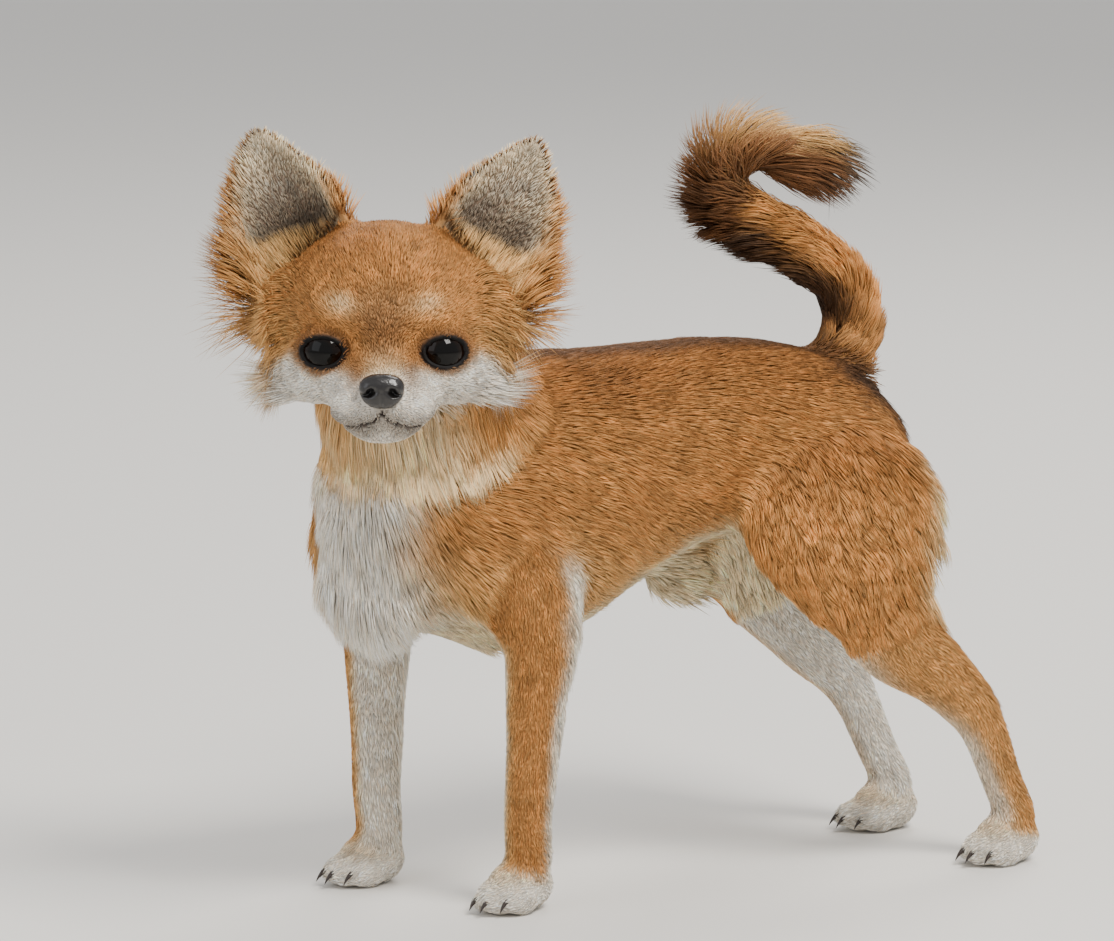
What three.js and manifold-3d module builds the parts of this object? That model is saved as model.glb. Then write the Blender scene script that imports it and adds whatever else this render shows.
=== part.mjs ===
// A life-size standing long-haired chihuahua, its head turned to its left and its tail carried up.
// Units are millimetres, +Z is up, the dog looks along -Y and its left side is +X.
// The body is lofted from named stations, each flesh piece is cut clear of its neighbours by GAP,
// and the long coat is made of flat tapered locks rooted in the piece that they grow from.
import * as THREE from "three";
import { mergeVertices } from "three/addons/utils/BufferGeometryUtils.js";
import Module from "manifold-3d";

const wasm = await Module();
wasm.setup();

// Driving sizes
const WITHERS = 195; // top of the shoulders above the ground, coat included
const GAP = 0.35; // clearance between touching pieces
const HALF_CHEST = 45; // widest half width of the trunk
const FORE_STANCE = 32; // forefoot centre from the middle plane
const HIND_STANCE = 42; // hind foot centre from the middle plane
const SKULL = { at: [32, -109, 215.5], half: [34.5, 31, 29.5] };
const HEAD_YAW = 60; // degrees that the head is turned to the dog's left
const HEAD_PITCH = 3; // degrees that the muzzle is lifted
const EYE = { at: [19, -18.5, -14], radius: 9.2, out: 14 }; // in the head's frame; out is degrees outward
const EYE_OPENING = [0.8, 0.64]; // half width and half height of the lid opening, in eyeball radii

const V = (x, y, z) => new THREE.Vector3(x, y, z);
const UP = V(0, 0, 1);
const FRONT = V(0, -1, 0);
const clamp = THREE.MathUtils.clamp;
const lerp = THREE.MathUtils.lerp;
const rad = THREE.MathUtils.degToRad;

// Repeatable numbers from 0 to 1
function dice(seed) {
  let s = seed;
  return () => {
    s = (s * 1664525 + 1013904223) % 4294967296;
    return s / 4294967296;
  };
}

// Solids

function solidFrom(geometry, mergeWithin = 1e-4) {
  const bare = geometry.clone();
  bare.deleteAttribute("normal");
  bare.deleteAttribute("uv");
  const merged = mergeWithin ? mergeVertices(bare, mergeWithin) : bare;
  const solid = new wasm.Manifold(
    new wasm.Mesh({
      numProp: 3,
      vertProperties: merged.attributes.position.array,
      triVerts: new Uint32Array(merged.index.array),
    }),
  );
  if (solid.isEmpty()) throw new Error(`a surface isn't closed: ${solid.status()}`);
  return solid;
}

function geometryOf(solid) {
  const mesh = solid.getMesh();
  const position = new Float32Array(mesh.numVert * 3);
  for (let i = 0; i < mesh.numVert; i++) {
    position.set(mesh.vertProperties.subarray(i * mesh.numProp, i * mesh.numProp + 3), i * 3);
  }
  const geometry = new THREE.BufferGeometry();
  geometry.setAttribute("position", new THREE.BufferAttribute(position, 3));
  geometry.setIndex(new THREE.BufferAttribute(new Uint32Array(mesh.triVerts), 1));
  return geometry;
}

const largest = (solid) =>
  solid.decompose().reduce((best, piece) => (piece.volume() > best.volume() ? piece : best));

// A piece is a solid, or a solid with its own larger copy to cut neighbours clear of it.
const unite = (pieces) => wasm.Manifold.union(pieces.map((piece) => piece.solid ?? piece));
const clearOf = (pieces) => unite(pieces.map((piece) => piece.clear ?? grown(piece)));

// A simple solid with every point moved outwards, to cut a neighbour clear of it
function grown(solid, by = GAP) {
  const geometry = geometryOf(solid);
  geometry.computeVertexNormals();
  const { position, normal } = geometry.attributes;
  for (let i = 0; i < position.count; i++) {
    position.setXYZ(
      i,
      position.getX(i) + by * normal.getX(i),
      position.getY(i) + by * normal.getY(i),
      position.getZ(i) + by * normal.getZ(i),
    );
  }
  return solidFrom(geometry, 0);
}

// Each ring of points is joined to the next, and both ends close on a middle point.
function skinRings(rings, first, last) {
  const sides = rings[0].length;
  const points = [first, ...rings.flat(), last];
  const faces = [];
  const at = (r, k) => 1 + r * sides + (k % sides);
  for (let k = 0; k < sides; k++) faces.push(0, at(0, k + 1), at(0, k));
  for (let r = 0; r + 1 < rings.length; r++) {
    for (let k = 0; k < sides; k++) {
      faces.push(at(r, k), at(r, k + 1), at(r + 1, k + 1));
      faces.push(at(r, k), at(r + 1, k + 1), at(r + 1, k));
    }
  }
  const end = points.length - 1;
  const final = rings.length - 1;
  for (let k = 0; k < sides; k++) faces.push(end, at(final, k), at(final, k + 1));
  const geometry = new THREE.BufferGeometry().setFromPoints(points);
  geometry.setIndex(faces);
  return geometry;
}

// A body form lofted through stations. A station is a centre, a half width across, and how far
// the section reaches towards `up` and away from it.
class Loft {
  constructor(stations, { up = UP, sides = 16, steps = 12, square = 2, matrix = null } = {}) {
    Object.assign(this, { stations, up, sides, steps, square, matrix });
    this.line = new THREE.CatmullRomCurve3(stations.map((s) => V(...s.at)), false, "centripetal");
  }

  // The section at t from 0 to 1, by smooth interpolation between the stations
  section(t) {
    const n = this.stations.length - 1;
    const f = clamp(t, 0, 1) * n;
    const i = Math.min(Math.floor(f), n - 1);
    const k = f - i;
    const size = (key) => {
      const v = (j) => this.stations[clamp(j, 0, n)][key];
      const [a, b, c, d] = [v(i - 1), v(i), v(i + 1), v(i + 2)];
      const [m0, m1] = [(c - a) / 2, (d - b) / 2];
      const smooth =
        (2 * k ** 3 - 3 * k ** 2 + 1) * b + (k ** 3 - 2 * k ** 2 + k) * m0 +
        (-2 * k ** 3 + 3 * k ** 2) * c + (k ** 3 - k ** 2) * m1;
      return clamp(smooth, Math.min(b, c) * 0.97, Math.max(b, c) * 1.03);
    };
    return { centre: this.line.getPoint(t), tangent: this.line.getTangent(t), size };
  }

  // A point on the surface and its outward direction. Angle 0 is across, 90 degrees is `up`.
  surface(t, angle) {
    const s = this.section(t);
    const across = new THREE.Vector3().crossVectors(s.tangent, this.up).normalize();
    const upward = new THREE.Vector3().crossVectors(across, s.tangent).normalize();
    const [c, n] = [Math.cos(angle), Math.sin(angle)];
    const power = 2 / this.square;
    const wide = s.size("w") * Math.sign(c) * Math.abs(c) ** power;
    const tall = s.size(n > 0 ? "u" : "d") * Math.sign(n) * Math.abs(n) ** power;
    const point = s.centre.clone().addScaledVector(across, wide).addScaledVector(upward, tall);
    const normal = across.clone().multiplyScalar(c).addScaledVector(upward, n).normalize();
    const tangent = s.tangent.clone();
    if (this.matrix) {
      point.applyMatrix4(this.matrix);
      normal.transformDirection(this.matrix);
      tangent.transformDirection(this.matrix);
    }
    return { point, normal, tangent };
  }

  solid() {
    const rings = [];
    for (let r = 0; r <= this.steps; r++) {
      const ring = [];
      for (let k = 0; k < this.sides; k++) {
        ring.push(this.surface(r / this.steps, (2 * Math.PI * k) / this.sides).point);
      }
      rings.push(ring);
    }
    const end = (t, way) => {
      const s = this.section(t);
      const p = s.centre.clone().addScaledVector(s.tangent, way * s.size("w") * 0.35);
      return this.matrix ? p.applyMatrix4(this.matrix) : p;
    };
    const solid = solidFrom(skinRings(rings, end(0, -1), end(1, 1)));
    return solid.volume() < 0 ? solidFrom(skinRings(rings.reverse(), end(1, 1), end(0, -1))) : solid;
  }
}

// A round form with its own half sizes, in the row frame or in the frame of `matrix`
function ellipsoid(at, half, { turn = [0, 0, 0], matrix = null, across = 16, down = 10 } = {}) {
  const geometry = new THREE.SphereGeometry(1, across, down);
  geometry.scale(...half);
  geometry.applyMatrix4(new THREE.Matrix4().makeRotationFromEuler(new THREE.Euler(...turn.map(rad))));
  geometry.translate(...at);
  if (matrix) geometry.applyMatrix4(matrix);
  return solidFrom(geometry);
}

// A round cord of solid through points, for lids and the grooves of the mouth
function bead(points, radius, { sides = 6, steps = 10, matrix = null } = {}) {
  const stations = points.map((p, i) => {
    const r = radius * (i === 0 || i === points.length - 1 ? 0.5 : 1);
    return { at: p, w: r, u: r, d: r };
  });
  return new Loft(stations, { up: V(0.11, -0.9, 0.2).normalize(), sides, steps, matrix }).solid();
}

// Locks of the long coat

const LOCK_FORM = [
  { t: 0, wide: 0.85, deep: 1 },
  { t: 0.5, wide: 1, deep: 0.8 },
  { t: 0.85, wide: 0.5, deep: 0.55 },
];

// A flat lock from a root, leaving along the outward direction and bending over to its lie, made
// larger all round by `by`. It lies flat on the skin, or with `fringe` it stands on its edge.
function lockSolid(style, by) {
  const { root, normal, lie, length, width, thick = 2.6, lift = 0.2, sink = 4, fringe = false } = style;
  const start = root.clone().addScaledVector(normal, -sink);
  const middle = root.clone().addScaledVector(normal, lift * length).addScaledVector(lie, 0.42 * length);
  const tip = root.clone().addScaledVector(normal, lift * length * 0.9).addScaledVector(lie, length);
  const path = new THREE.QuadraticBezierCurve3(start, middle, tip);
  const rings = [];
  for (const { t, wide, deep } of LOCK_FORM) {
    const along = path.getTangent(t);
    const side = new THREE.Vector3().crossVectors(along, normal).normalize();
    const face = new THREE.Vector3().crossVectors(side, along).normalize();
    const half = (width / 2) * wide + 1.5 * by;
    const flat = (thick / 2) * deep + by;
    const [a, b] = fringe ? [flat, half] : [half, flat];
    const p = path.getPoint(t);
    rings.push([
      p.clone().addScaledVector(side, a),
      p.clone().addScaledVector(face, b),
      p.clone().addScaledVector(side, -a),
      p.clone().addScaledVector(face, -b),
    ]);
  }
  const base = start.clone().addScaledVector(normal, -0.4 - by);
  const tipPoint = path.getPoint(1).addScaledVector(path.getTangent(1), 3 * by);
  const solid = solidFrom(skinRings(rings, base, tipPoint));
  return solid.volume() < 0 ? solidFrom(skinRings(rings.reverse(), tipPoint, base)) : solid;
}

const lock = (style) => ({ solid: lockSolid(style, 0), clear: lockSolid(style, GAP) });

// A patch of locks. `place` gives a root, its outward direction and the way along the body for
// s and a from 0 to 1. `lie` is how far a lock turns along the body, outwards and downwards.
function coat(place, { rows, count, seed, length, width, lie, stagger = 0.5, ...style }) {
  const roll = dice(seed);
  const vary = (share) => 1 + share * (2 * roll() - 1);
  const locks = [];
  for (let r = 0; r < rows; r++) {
    for (let k = 0; k < count; k++) {
      const s = rows > 1 ? r / (rows - 1) : 0.5;
      const a = (k + (r % 2) * stagger + 0.3 * roll()) / Math.max(1, count - 1 + stagger);
      const { point, normal, tangent } = place(s, a);
      const [along, out, down] = lie;
      const way = tangent.clone().multiplyScalar(along * vary(0.25)).addScaledVector(normal, out);
      way.z -= down * vary(0.15);
      locks.push(
        lock({
          root: point,
          normal,
          lie: way.normalize(),
          length: lerp(length[0], length[1], s) * vary(0.14),
          width: width * vary(0.15),
          ...style,
        }),
      );
    }
  }
  return locks;
}

// A patch on a loft, between two places along it and two angles round it
const patch = (loft, t, angle, style) =>
  coat((s, a) => loft.surface(lerp(t[0], t[1], s), rad(lerp(angle[0], angle[1], a))), style);

// Trunk: distance along the body, top, bottom and half width
const TRUNK = [
  [-112, 146, 116, 13],
  [-106, 159, 103, 25],
  [-92, 176, 92, 36],
  [-68, WITHERS - 3, 85, 42],
  [-42, WITHERS - 1, 86, HALF_CHEST],
  [-16, WITHERS - 2, 99, HALF_CHEST],
  [10, WITHERS - 3, 112, 42],
  [40, WITHERS - 3, 119, 38],
  [70, WITHERS - 8, 120, 37],
  [92, WITHERS - 20, 121, 33],
  [107, WITHERS - 36, 127, 24],
  [114, 148, 138, 10],
].map(([y, top, bottom, half]) => {
  const middle = bottom + (top - bottom) * 0.55;
  return { at: [0, y, middle], w: half, u: top - middle, d: middle - bottom };
});
const trunk = new Loft(TRUNK, { sides: 16, steps: 16, square: 2.15 });

const shoulders = [1, -1].map((side) => ({
  at: [side * 30, side > 0 ? -60 : -76, 138],
  half: [17, 27, 41],
  turn: [-14, 0, side * 6],
}));
const breast = { at: [-4, -94, 116], half: [29, 19, 27], turn: [0, 0, 0] };
const sheath = { at: [0, 25, 107], half: [7, 16, 13], turn: [8, 0, 0] };

function bodyCore() {
  const round = { across: 11, down: 7 };
  return [
    trunk.solid(),
    ...[...shoulders, breast, sheath].map((m) => ellipsoid(m.at, m.half, { turn: m.turn, ...round })),
  ];
}

// Neck: a thick column from the shoulders up to the turned head
const NECK = [
  { at: [0, -52, 150], w: 37, u: 35, d: 37 },
  { at: [2, -70, 167], w: 36, u: 33, d: 36 },
  { at: [11, -86, 185], w: 33, u: 29, d: 33 },
  { at: [23, -97, 201], w: 27, u: 25, d: 27 },
  { at: [29, -103, 209], w: 20, u: 18, d: 19 },
];
const neck = new Loft(NECK, { up: V(0, 0.6, 0.8), sides: 16, steps: 7 });

// Head, in its own frame: the skull's middle is the origin and the muzzle points along -Y.
const headFrame = new THREE.Matrix4()
  .makeTranslation(...SKULL.at)
  .multiply(new THREE.Matrix4().makeRotationZ(rad(HEAD_YAW)))
  .multiply(new THREE.Matrix4().makeRotationX(rad(-HEAD_PITCH)));
const MUZZLE = [
  { at: [0, -52.5, -29], w: 8, u: 6.5, d: 6 },
  { at: [0, -49, -29.5], w: 13, u: 8.5, d: 8.5 },
  { at: [0, -42, -29.5], w: 15.5, u: 10, d: 10 },
  { at: [0, -33, -28], w: 17.5, u: 12, d: 12 },
  { at: [0, -22, -24], w: 22, u: 15, d: 15 },
  { at: [0, -10, -18], w: 24, u: 16, d: 17 },
];
const muzzle = new Loft(MUZZLE, { sides: 14, steps: 8, matrix: headFrame });
const JAW = [
  { at: [0, -47, -38.5], w: 6, u: 4, d: 3.5 },
  { at: [0, -43, -38.5], w: 10.5, u: 6, d: 5 },
  { at: [0, -34, -37], w: 13.5, u: 7, d: 6.5 },
  { at: [0, -20, -33], w: 18, u: 8, d: 8 },
  { at: [0, -4, -27], w: 21, u: 9, d: 9 },
];
const jaw = new Loft(JAW, { sides: 12, steps: 6, matrix: headFrame });

const CHEEK = { at: [19, -7, -19], half: [16, 19, 15], turn: 10 };
const BROW = { at: [14, -17, -1], half: [13, 12, 12], turn: 0 };
const LIP = { at: [9.5, -42, -32], half: [8.6, 11, 7.6], turn: -6 };

function skullCore() {
  const style = { matrix: headFrame, across: 10, down: 7 };
  const pair = (at, half, turn) =>
    [1, -1].map((side) =>
      ellipsoid([side * at[0], at[1], at[2]], half, { ...style, turn: [0, 0, side * turn] }),
    );
  return [
    ellipsoid([0, 0, 0], SKULL.half, { matrix: headFrame, across: 18, down: 12 }),
    ...pair(CHEEK.at, CHEEK.half, CHEEK.turn),
    ...pair(BROW.at, BROW.half, BROW.turn),
    ...pair(LIP.at, LIP.half, LIP.turn),
    muzzle.solid(),
    jaw.solid(),
  ];
}

// Eyes: the ball, and the lids as beads round the opening
function eyeFrame(side) {
  return headFrame
    .clone()
    .multiply(new THREE.Matrix4().makeTranslation(side * EYE.at[0], EYE.at[1], EYE.at[2]))
    .multiply(new THREE.Matrix4().makeRotationZ(rad(side * EYE.out)));
}
function eyeball(side) {
  const half = [EYE.radius, EYE.radius, EYE.radius];
  return ellipsoid([0, 0, 0], half, { matrix: eyeFrame(side), across: 14, down: 9 });
}

function lid(side, upper) {
  const points = [];
  for (let i = 0; i <= 8; i++) {
    const a = Math.PI * (i / 8);
    const x = EYE_OPENING[0] * Math.cos(a) * 1.06;
    const z = EYE_OPENING[1] * Math.sin(a) * (upper ? 1.04 : -1.1);
    const y = -Math.sqrt(Math.max(0.02, 1 - x * x - z * z));
    points.push([x * EYE.radius, y * EYE.radius * 1.02, z * EYE.radius]);
  }
  return bead(points, upper ? 1.8 : 1.5, { sides: 5, steps: 8, matrix: eyeFrame(side) });
}

// Half of the mouth line from the lip under the nose, the nose leather and a nostril
const MOUTH = [
  [0, -54.5, -32],
  [3, -54, -35.5],
  [8.5, -51, -37.5],
  [14, -44, -37],
  [17.2, -35, -34.5],
  [19, -28, -32],
];
const MOUTH_GROOVE = 1;
const NOSE = { at: [0, -53.5, -24.5], half: [7.4, 4.6, 5.8] };
const NOSTRIL = { at: [3.5, -57.6, -25], half: [1.6, 2.6, 1.3] };

// Ears: a cupped leaf with a front and a back face, thin at the rim
const EARS = [
  { side: 1, base: [31, 6, 11], tip: [51, 9, 55], facing: [0.28, -1, 0.02] },
  { side: -1, base: [-28, 6, 13], tip: [-44, 9, 58.5], facing: [-0.2, -1, 0.02] },
];
const EAR_HALF = 20; // widest half width
const EAR_CUP = [72, 34]; // half of the arc that the ear bends through, at its root and its tip, in degrees
const EAR_THICK = [3.4, 1.4]; // at the middle and at the rim
const EAR_GRID = [7, 6]; // steps across and along

function earPoint(ear, across, along, depth) {
  const base = V(...ear.base);
  const axis = V(...ear.tip).sub(base);
  const size = axis.length();
  axis.normalize();
  const face = V(...ear.facing);
  face.addScaledVector(axis, -face.dot(axis)).normalize();
  const side = new THREE.Vector3().crossVectors(axis, face);
  const half = EAR_HALF * Math.max(0, 1 - clamp(along, 0, 1) ** 2) ** 0.85 + 0.35;
  const arc = rad(lerp(EAR_CUP[0], EAR_CUP[1], clamp(along, 0, 1)));
  const turn = across * arc;
  const point = base.addScaledVector(axis, size * along);
  point.addScaledVector(side, (half * Math.sin(turn)) / Math.sin(arc));
  point.addScaledVector(face, (-half * (Math.cos(turn) - Math.cos(arc))) / Math.sin(arc));
  const normal = face.clone().multiplyScalar(Math.cos(turn)).addScaledVector(side, -Math.sin(turn));
  point.addScaledVector(normal, depth).applyMatrix4(headFrame);
  return { point, normal: normal.transformDirection(headFrame) };
}

function earShell(ear) {
  const [n, m] = EAR_GRID;
  const points = [];
  const faces = [];
  const index = (face, i, j) => face * (n + 1) * (m + 1) + j * (n + 1) + i;
  for (const face of [1, -1]) {
    for (let j = 0; j <= m; j++) {
      for (let i = 0; i <= n; i++) {
        const across = (2 * i) / n - 1;
        const along = -0.22 + 1.22 * (j / m);
        const rim = Math.max(Math.abs(across) ** 3, clamp(along, 0, 1) ** 6);
        const thick = lerp(EAR_THICK[0], EAR_THICK[1], rim);
        points.push(earPoint(ear, across, along, (face * thick) / 2).point);
      }
    }
  }
  const quad = (a, b, c, d) => faces.push(a, b, c, a, c, d);
  for (let j = 0; j < m; j++) {
    for (let i = 0; i < n; i++) {
      quad(index(0, i, j), index(0, i + 1, j), index(0, i + 1, j + 1), index(0, i, j + 1));
      quad(index(1, i, j), index(1, i, j + 1), index(1, i + 1, j + 1), index(1, i + 1, j));
    }
  }
  for (let j = 0; j < m; j++) {
    quad(index(0, 0, j), index(0, 0, j + 1), index(1, 0, j + 1), index(1, 0, j));
    quad(index(0, n, j), index(1, n, j), index(1, n, j + 1), index(0, n, j + 1));
  }
  for (let i = 0; i < n; i++) {
    quad(index(0, i, 0), index(1, i, 0), index(1, i + 1, 0), index(0, i + 1, 0));
    quad(index(0, i, m), index(0, i + 1, m), index(1, i + 1, m), index(1, i, m));
  }
  const geometry = new THREE.BufferGeometry().setFromPoints(points);
  geometry.setIndex(faces);
  let solid = solidFrom(geometry);
  if (solid.volume() < 0) {
    faces.reverse();
    geometry.setIndex(faces);
    solid = solidFrom(geometry);
  }
  return solid;
}

// Legs. In a leg's loft `u` reaches forwards and `d` backwards.
const LEG_WAY = { up: FRONT, sides: 12 };
const FORELEGS = {
  1: { elbow: [37, -52], foot: [FORE_STANCE - 3, -53] },
  "-1": { elbow: [-36, -77], foot: [-FORE_STANCE - 3, -77] },
};
const HIND_FEET = { 1: [HIND_STANCE + 6, 137], "-1": [-HIND_STANCE + 20, 130] };

function foreleg(side) {
  const { elbow, foot } = FORELEGS[side];
  const at = (share, z, ahead = 0) => [
    lerp(elbow[0], foot[0], share),
    lerp(elbow[1], foot[1], share) - ahead,
    z,
  ];
  return new Loft(
    [
      { at: at(0, 132, 8), w: 6, u: 8, d: 10 },
      { at: at(0, 118, 4), w: 11.5, u: 15, d: 17 },
      { at: at(0, 100), w: 12.5, u: 14, d: 15 },
      { at: at(0.3, 76), w: 10.5, u: 11.5, d: 12 },
      { at: at(0.6, 52), w: 9.4, u: 9.8, d: 10 },
      { at: at(0.85, 33), w: 9.2, u: 9.4, d: 9.2 },
      { at: at(1, 18, -1), w: 9, u: 9, d: 9.2 },
      { at: at(1, 11), w: 8.8, u: 8.8, d: 8.8 },
    ],
    { ...LEG_WAY, steps: 10 },
  );
}

function hindleg(side) {
  const [fx, fy] = HIND_FEET[side];
  const hip = side * 40;
  const at = (share, y, z) => [lerp(hip, fx, share), y, z];
  const thigh = [
    { at: [side * 25, 82, 158], w: 12, u: 26, d: 24 },
    { at: [side * 30, 78, 146], w: 18, u: 38, d: 34 },
    { at: [side * 35, 72, 126], w: 19, u: 42, d: 40 },
    { at: at(0, 75, 108), w: 17, u: 29, d: 33 },
    { at: at(0.1, 82, 92), w: 13, u: 18, d: 23 },
  ];
  const shank = [
    { at: at(0.08, 82, 99), w: 12, u: 22, d: 24 },
    { at: at(0.15, 92, 83), w: 11.5, u: 17, d: 17 },
    { at: at(0.35, fy - 29, 70), w: 9.5, u: 13, d: 13 },
    { at: at(0.5, fy - 17, 58), w: 8.6, u: 11, d: 10.5 },
    { at: at(0.6, fy - 11, 48), w: 8, u: 9, d: 9.5 },
    { at: at(0.8, fy - 4, 30), w: 8, u: 8.2, d: 8.2 },
    { at: at(1, fy + 1, 16), w: 8.4, u: 8.2, d: 8.2 },
    { at: at(1, fy - 1, 10), w: 8.2, u: 8.2, d: 8.2 },
  ];
  return {
    thigh: new Loft(thigh, { ...LEG_WAY, sides: 14, steps: 8 }),
    shank: new Loft(shank, { ...LEG_WAY, steps: 12 }),
  };
}

// A paw: a pad block, four toes and their claws, flat underneath at the ground
const TOES = [
  { across: -7.2, ahead: 8.5, half: [4.1, 8.2, 5.6] },
  { across: -2.6, ahead: 12.5, half: [4.2, 9, 6] },
  { across: 2.6, ahead: 12.5, half: [4.2, 9, 6] },
  { across: 7.2, ahead: 8.5, half: [4.1, 8.2, 5.6] },
];
const CLAW = { radius: 1.3, reach: 5, drop: 3 };
function paw([x, y], turn) {
  const frame = new THREE.Matrix4()
    .makeTranslation(x, y, 0)
    .multiply(new THREE.Matrix4().makeRotationZ(rad(turn)));
  const pieces = [ellipsoid([0, -2, 8.5], [10.4, 12.5, 9.5], { matrix: frame, across: 12, down: 7 })];
  for (const { across, ahead, half } of TOES) {
    pieces.push(ellipsoid([across, -ahead, 5.2], half, { matrix: frame, across: 7, down: 5 }));
    const from = [across, -ahead - half[1] + 1.5, 5.4];
    const to = [across * 1.04, from[1] - CLAW.reach, from[2] - CLAW.drop];
    pieces.push(bead([from, to], CLAW.radius * 2, { steps: 1, sides: 4, matrix: frame }));
  }
  const ground = new THREE.BoxGeometry(80, 80, 40);
  ground.translate(x, y, -20);
  return pieces.map((piece) => piece.subtract(solidFrom(ground)));
}

// Tail: up from the croup, forwards over the back, and folded back at its end
const TAIL = [
  { at: [0, 88, 170], r: 12 },
  { at: [0, 96, 186], r: 11 },
  { at: [1, 94, 202], r: 9.5 },
  { at: [2, 80, 217], r: 8.5 },
  { at: [3, 61, 230], r: 7.5 },
  { at: [4, 44, 242], r: 6.8 },
  { at: [5, 47, 252], r: 6 },
  { at: [6, 64, 255], r: 5 },
  { at: [6, 82, 253], r: 3.5 },
].map(({ at, r }) => ({ at, w: r, u: r, d: r }));
// The pieces of the tail, each from one station to another
const TAIL_PARTS = [
  ["tail_base", 0, 3],
  ["tail_middle", 3, 5],
  ["tail_end", 5, 8],
];

function tailLoft(from, to) {
  return new Loft(TAIL.slice(from, to + 1), { up: V(1, 0, 0), sides: 10, steps: (to - from) * 3 });
}

// The long coat of each piece. On the trunk an angle of 0 is the left side and 270 the belly, on
// the neck 180 is the left side and 270 the throat, and on a leg 270 is behind.
const ruff = () => [
  ...patch(neck, [0.62, 0.15], [200, 340], {
    rows: 3, count: 5, seed: 11, length: [24, 32], width: 15, lie: [-0.75, 0.15, 0.6],
  }),
  ...patch(neck, [0.6, 0.2], [-15, 195], {
    rows: 2, count: 5, seed: 12, length: [22, 26], width: 17, lie: [-1, 0.08, 0.2],
  }),
];
const breastCoat = () => [
  ...patch(trunk, [0.03, 0.3], [205, 335], {
    rows: 3, count: 4, seed: 21, length: [27, 17], width: 18, lie: [0.2, 0.1, 1],
  }),
  ...patch(trunk, [0.64, 0.72], [264, 276], {
    rows: 2, count: 1, seed: 22, length: [15, 13], width: 9, lie: [0.6, 0.1, 0.9], fringe: true,
  }),
];

// The cheek's fringe grows behind the corner of the mouth, back and down.
const FRINGE = { from: -35, to: 75, out: 62 };
const cheekFringe = (side) =>
  coat(
    (s, a) => {
      const turn = rad(lerp(FRINGE.from, FRINGE.to, a));
      const way = V(side * Math.cos(rad(FRINGE.out * s)), Math.sin(rad(FRINGE.out * s)), 0);
      way.applyAxisAngle(V(0, 1, 0), side * turn * 0.5);
      const middle = V(side * CHEEK.at[0], CHEEK.at[1], CHEEK.at[2]);
      const point = way.clone().multiply(V(...CHEEK.half)).add(middle);
      return {
        point: point.applyMatrix4(headFrame),
        normal: way.transformDirection(headFrame),
        tangent: V(side * 0.35, 0.9, 0).transformDirection(headFrame),
      };
    },
    { rows: 2, count: 3, seed: 31 + side, length: [15, 20], width: 11, lie: [1, 0.1, 0.8] },
  );

const earFringe = (ear) => {
  const outer = (s, a) => {
    const { point, normal } = earPoint(ear, ear.side * 0.9, lerp(0.02, 0.62, a), 0);
    const rim = V(ear.side, 0.5, -0.1).transformDirection(headFrame);
    return { point, normal, tangent: rim };
  };
  const inner = (s, a) => {
    const { point, normal } = earPoint(ear, -ear.side * 0.9, lerp(0.3, 0.7, a), 0);
    return { point, normal, tangent: V(-ear.side * 0.7, 0.5, 0.7).transformDirection(headFrame) };
  };
  const style = { rows: 1, thick: 2, sink: 0.4, lift: 0.04, width: 13 };
  return [
    ...coat(outer, { ...style, count: 3, seed: 41 + ear.side, length: [14, 14], lie: [1, 0, 0.7] }),
    ...coat(inner, { ...style, count: 2, seed: 43 + ear.side, length: [10, 10], lie: [1, 0, 0] }),
  ];
};

const FRINGE_STYLE = { count: 1, thick: 2.2, sink: 3, lift: 0.1, fringe: true };
const legFeather = (loft, seed) =>
  patch(loft, [0.28, 0.72], [266, 274], {
    ...FRINGE_STYLE, rows: 3, seed, length: [24, 17], width: 10, lie: [1, 0.3, 0],
  });
const hockFeather = (loft, seed) =>
  patch(loft, [0.12, 0.36], [266, 274], {
    ...FRINGE_STYLE, rows: 2, seed, length: [22, 16], width: 9, lie: [1, 0.25, 0],
  });
const trousers = (loft, seed) =>
  patch(loft, [0.32, 0.9], [238, 302], {
    ...FRINGE_STYLE, rows: 3, count: 2, seed, length: [24, 26], width: 13, lie: [1, 0.3, 0.15],
  });
const tailCoat = (loft, rows, seed, length, lie) =>
  patch(loft, [0.1, 0.86], [0, 260], { rows, count: 3, seed, length, width: 15, thick: 2.4, lie });
const PLUME = {
  tail_base: (loft) => tailCoat(loft, 2, 71, [26, 26], [1, 0.25, 0]),
  tail_middle: (loft) => tailCoat(loft, 2, 72, [22, 25], [1, 0.3, 0]),
  tail_end: (loft) => tailCoat(loft, 3, 73, [25, 19], [1, 0.45, 0]),
};

// Assembly
const root = new THREE.Group();
root.name = "chihuahua";

const TAN = "#c98a4b";
const CREAM = "#ead9bd";
const SABLE = "#5b3d22";
const EYE_BROWN = "#1a100a";
const NOSE_BLACK = "#17120f";
const finish = (color, roughness = 0.85) =>
  new THREE.MeshStandardMaterial({ color, roughness, metalness: 0 });

function add(name, solid, material) {
  const kept = largest(solid);
  const mesh = new THREE.Mesh(geometryOf(kept), material);
  mesh.name = name;
  root.add(mesh);
}

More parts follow.
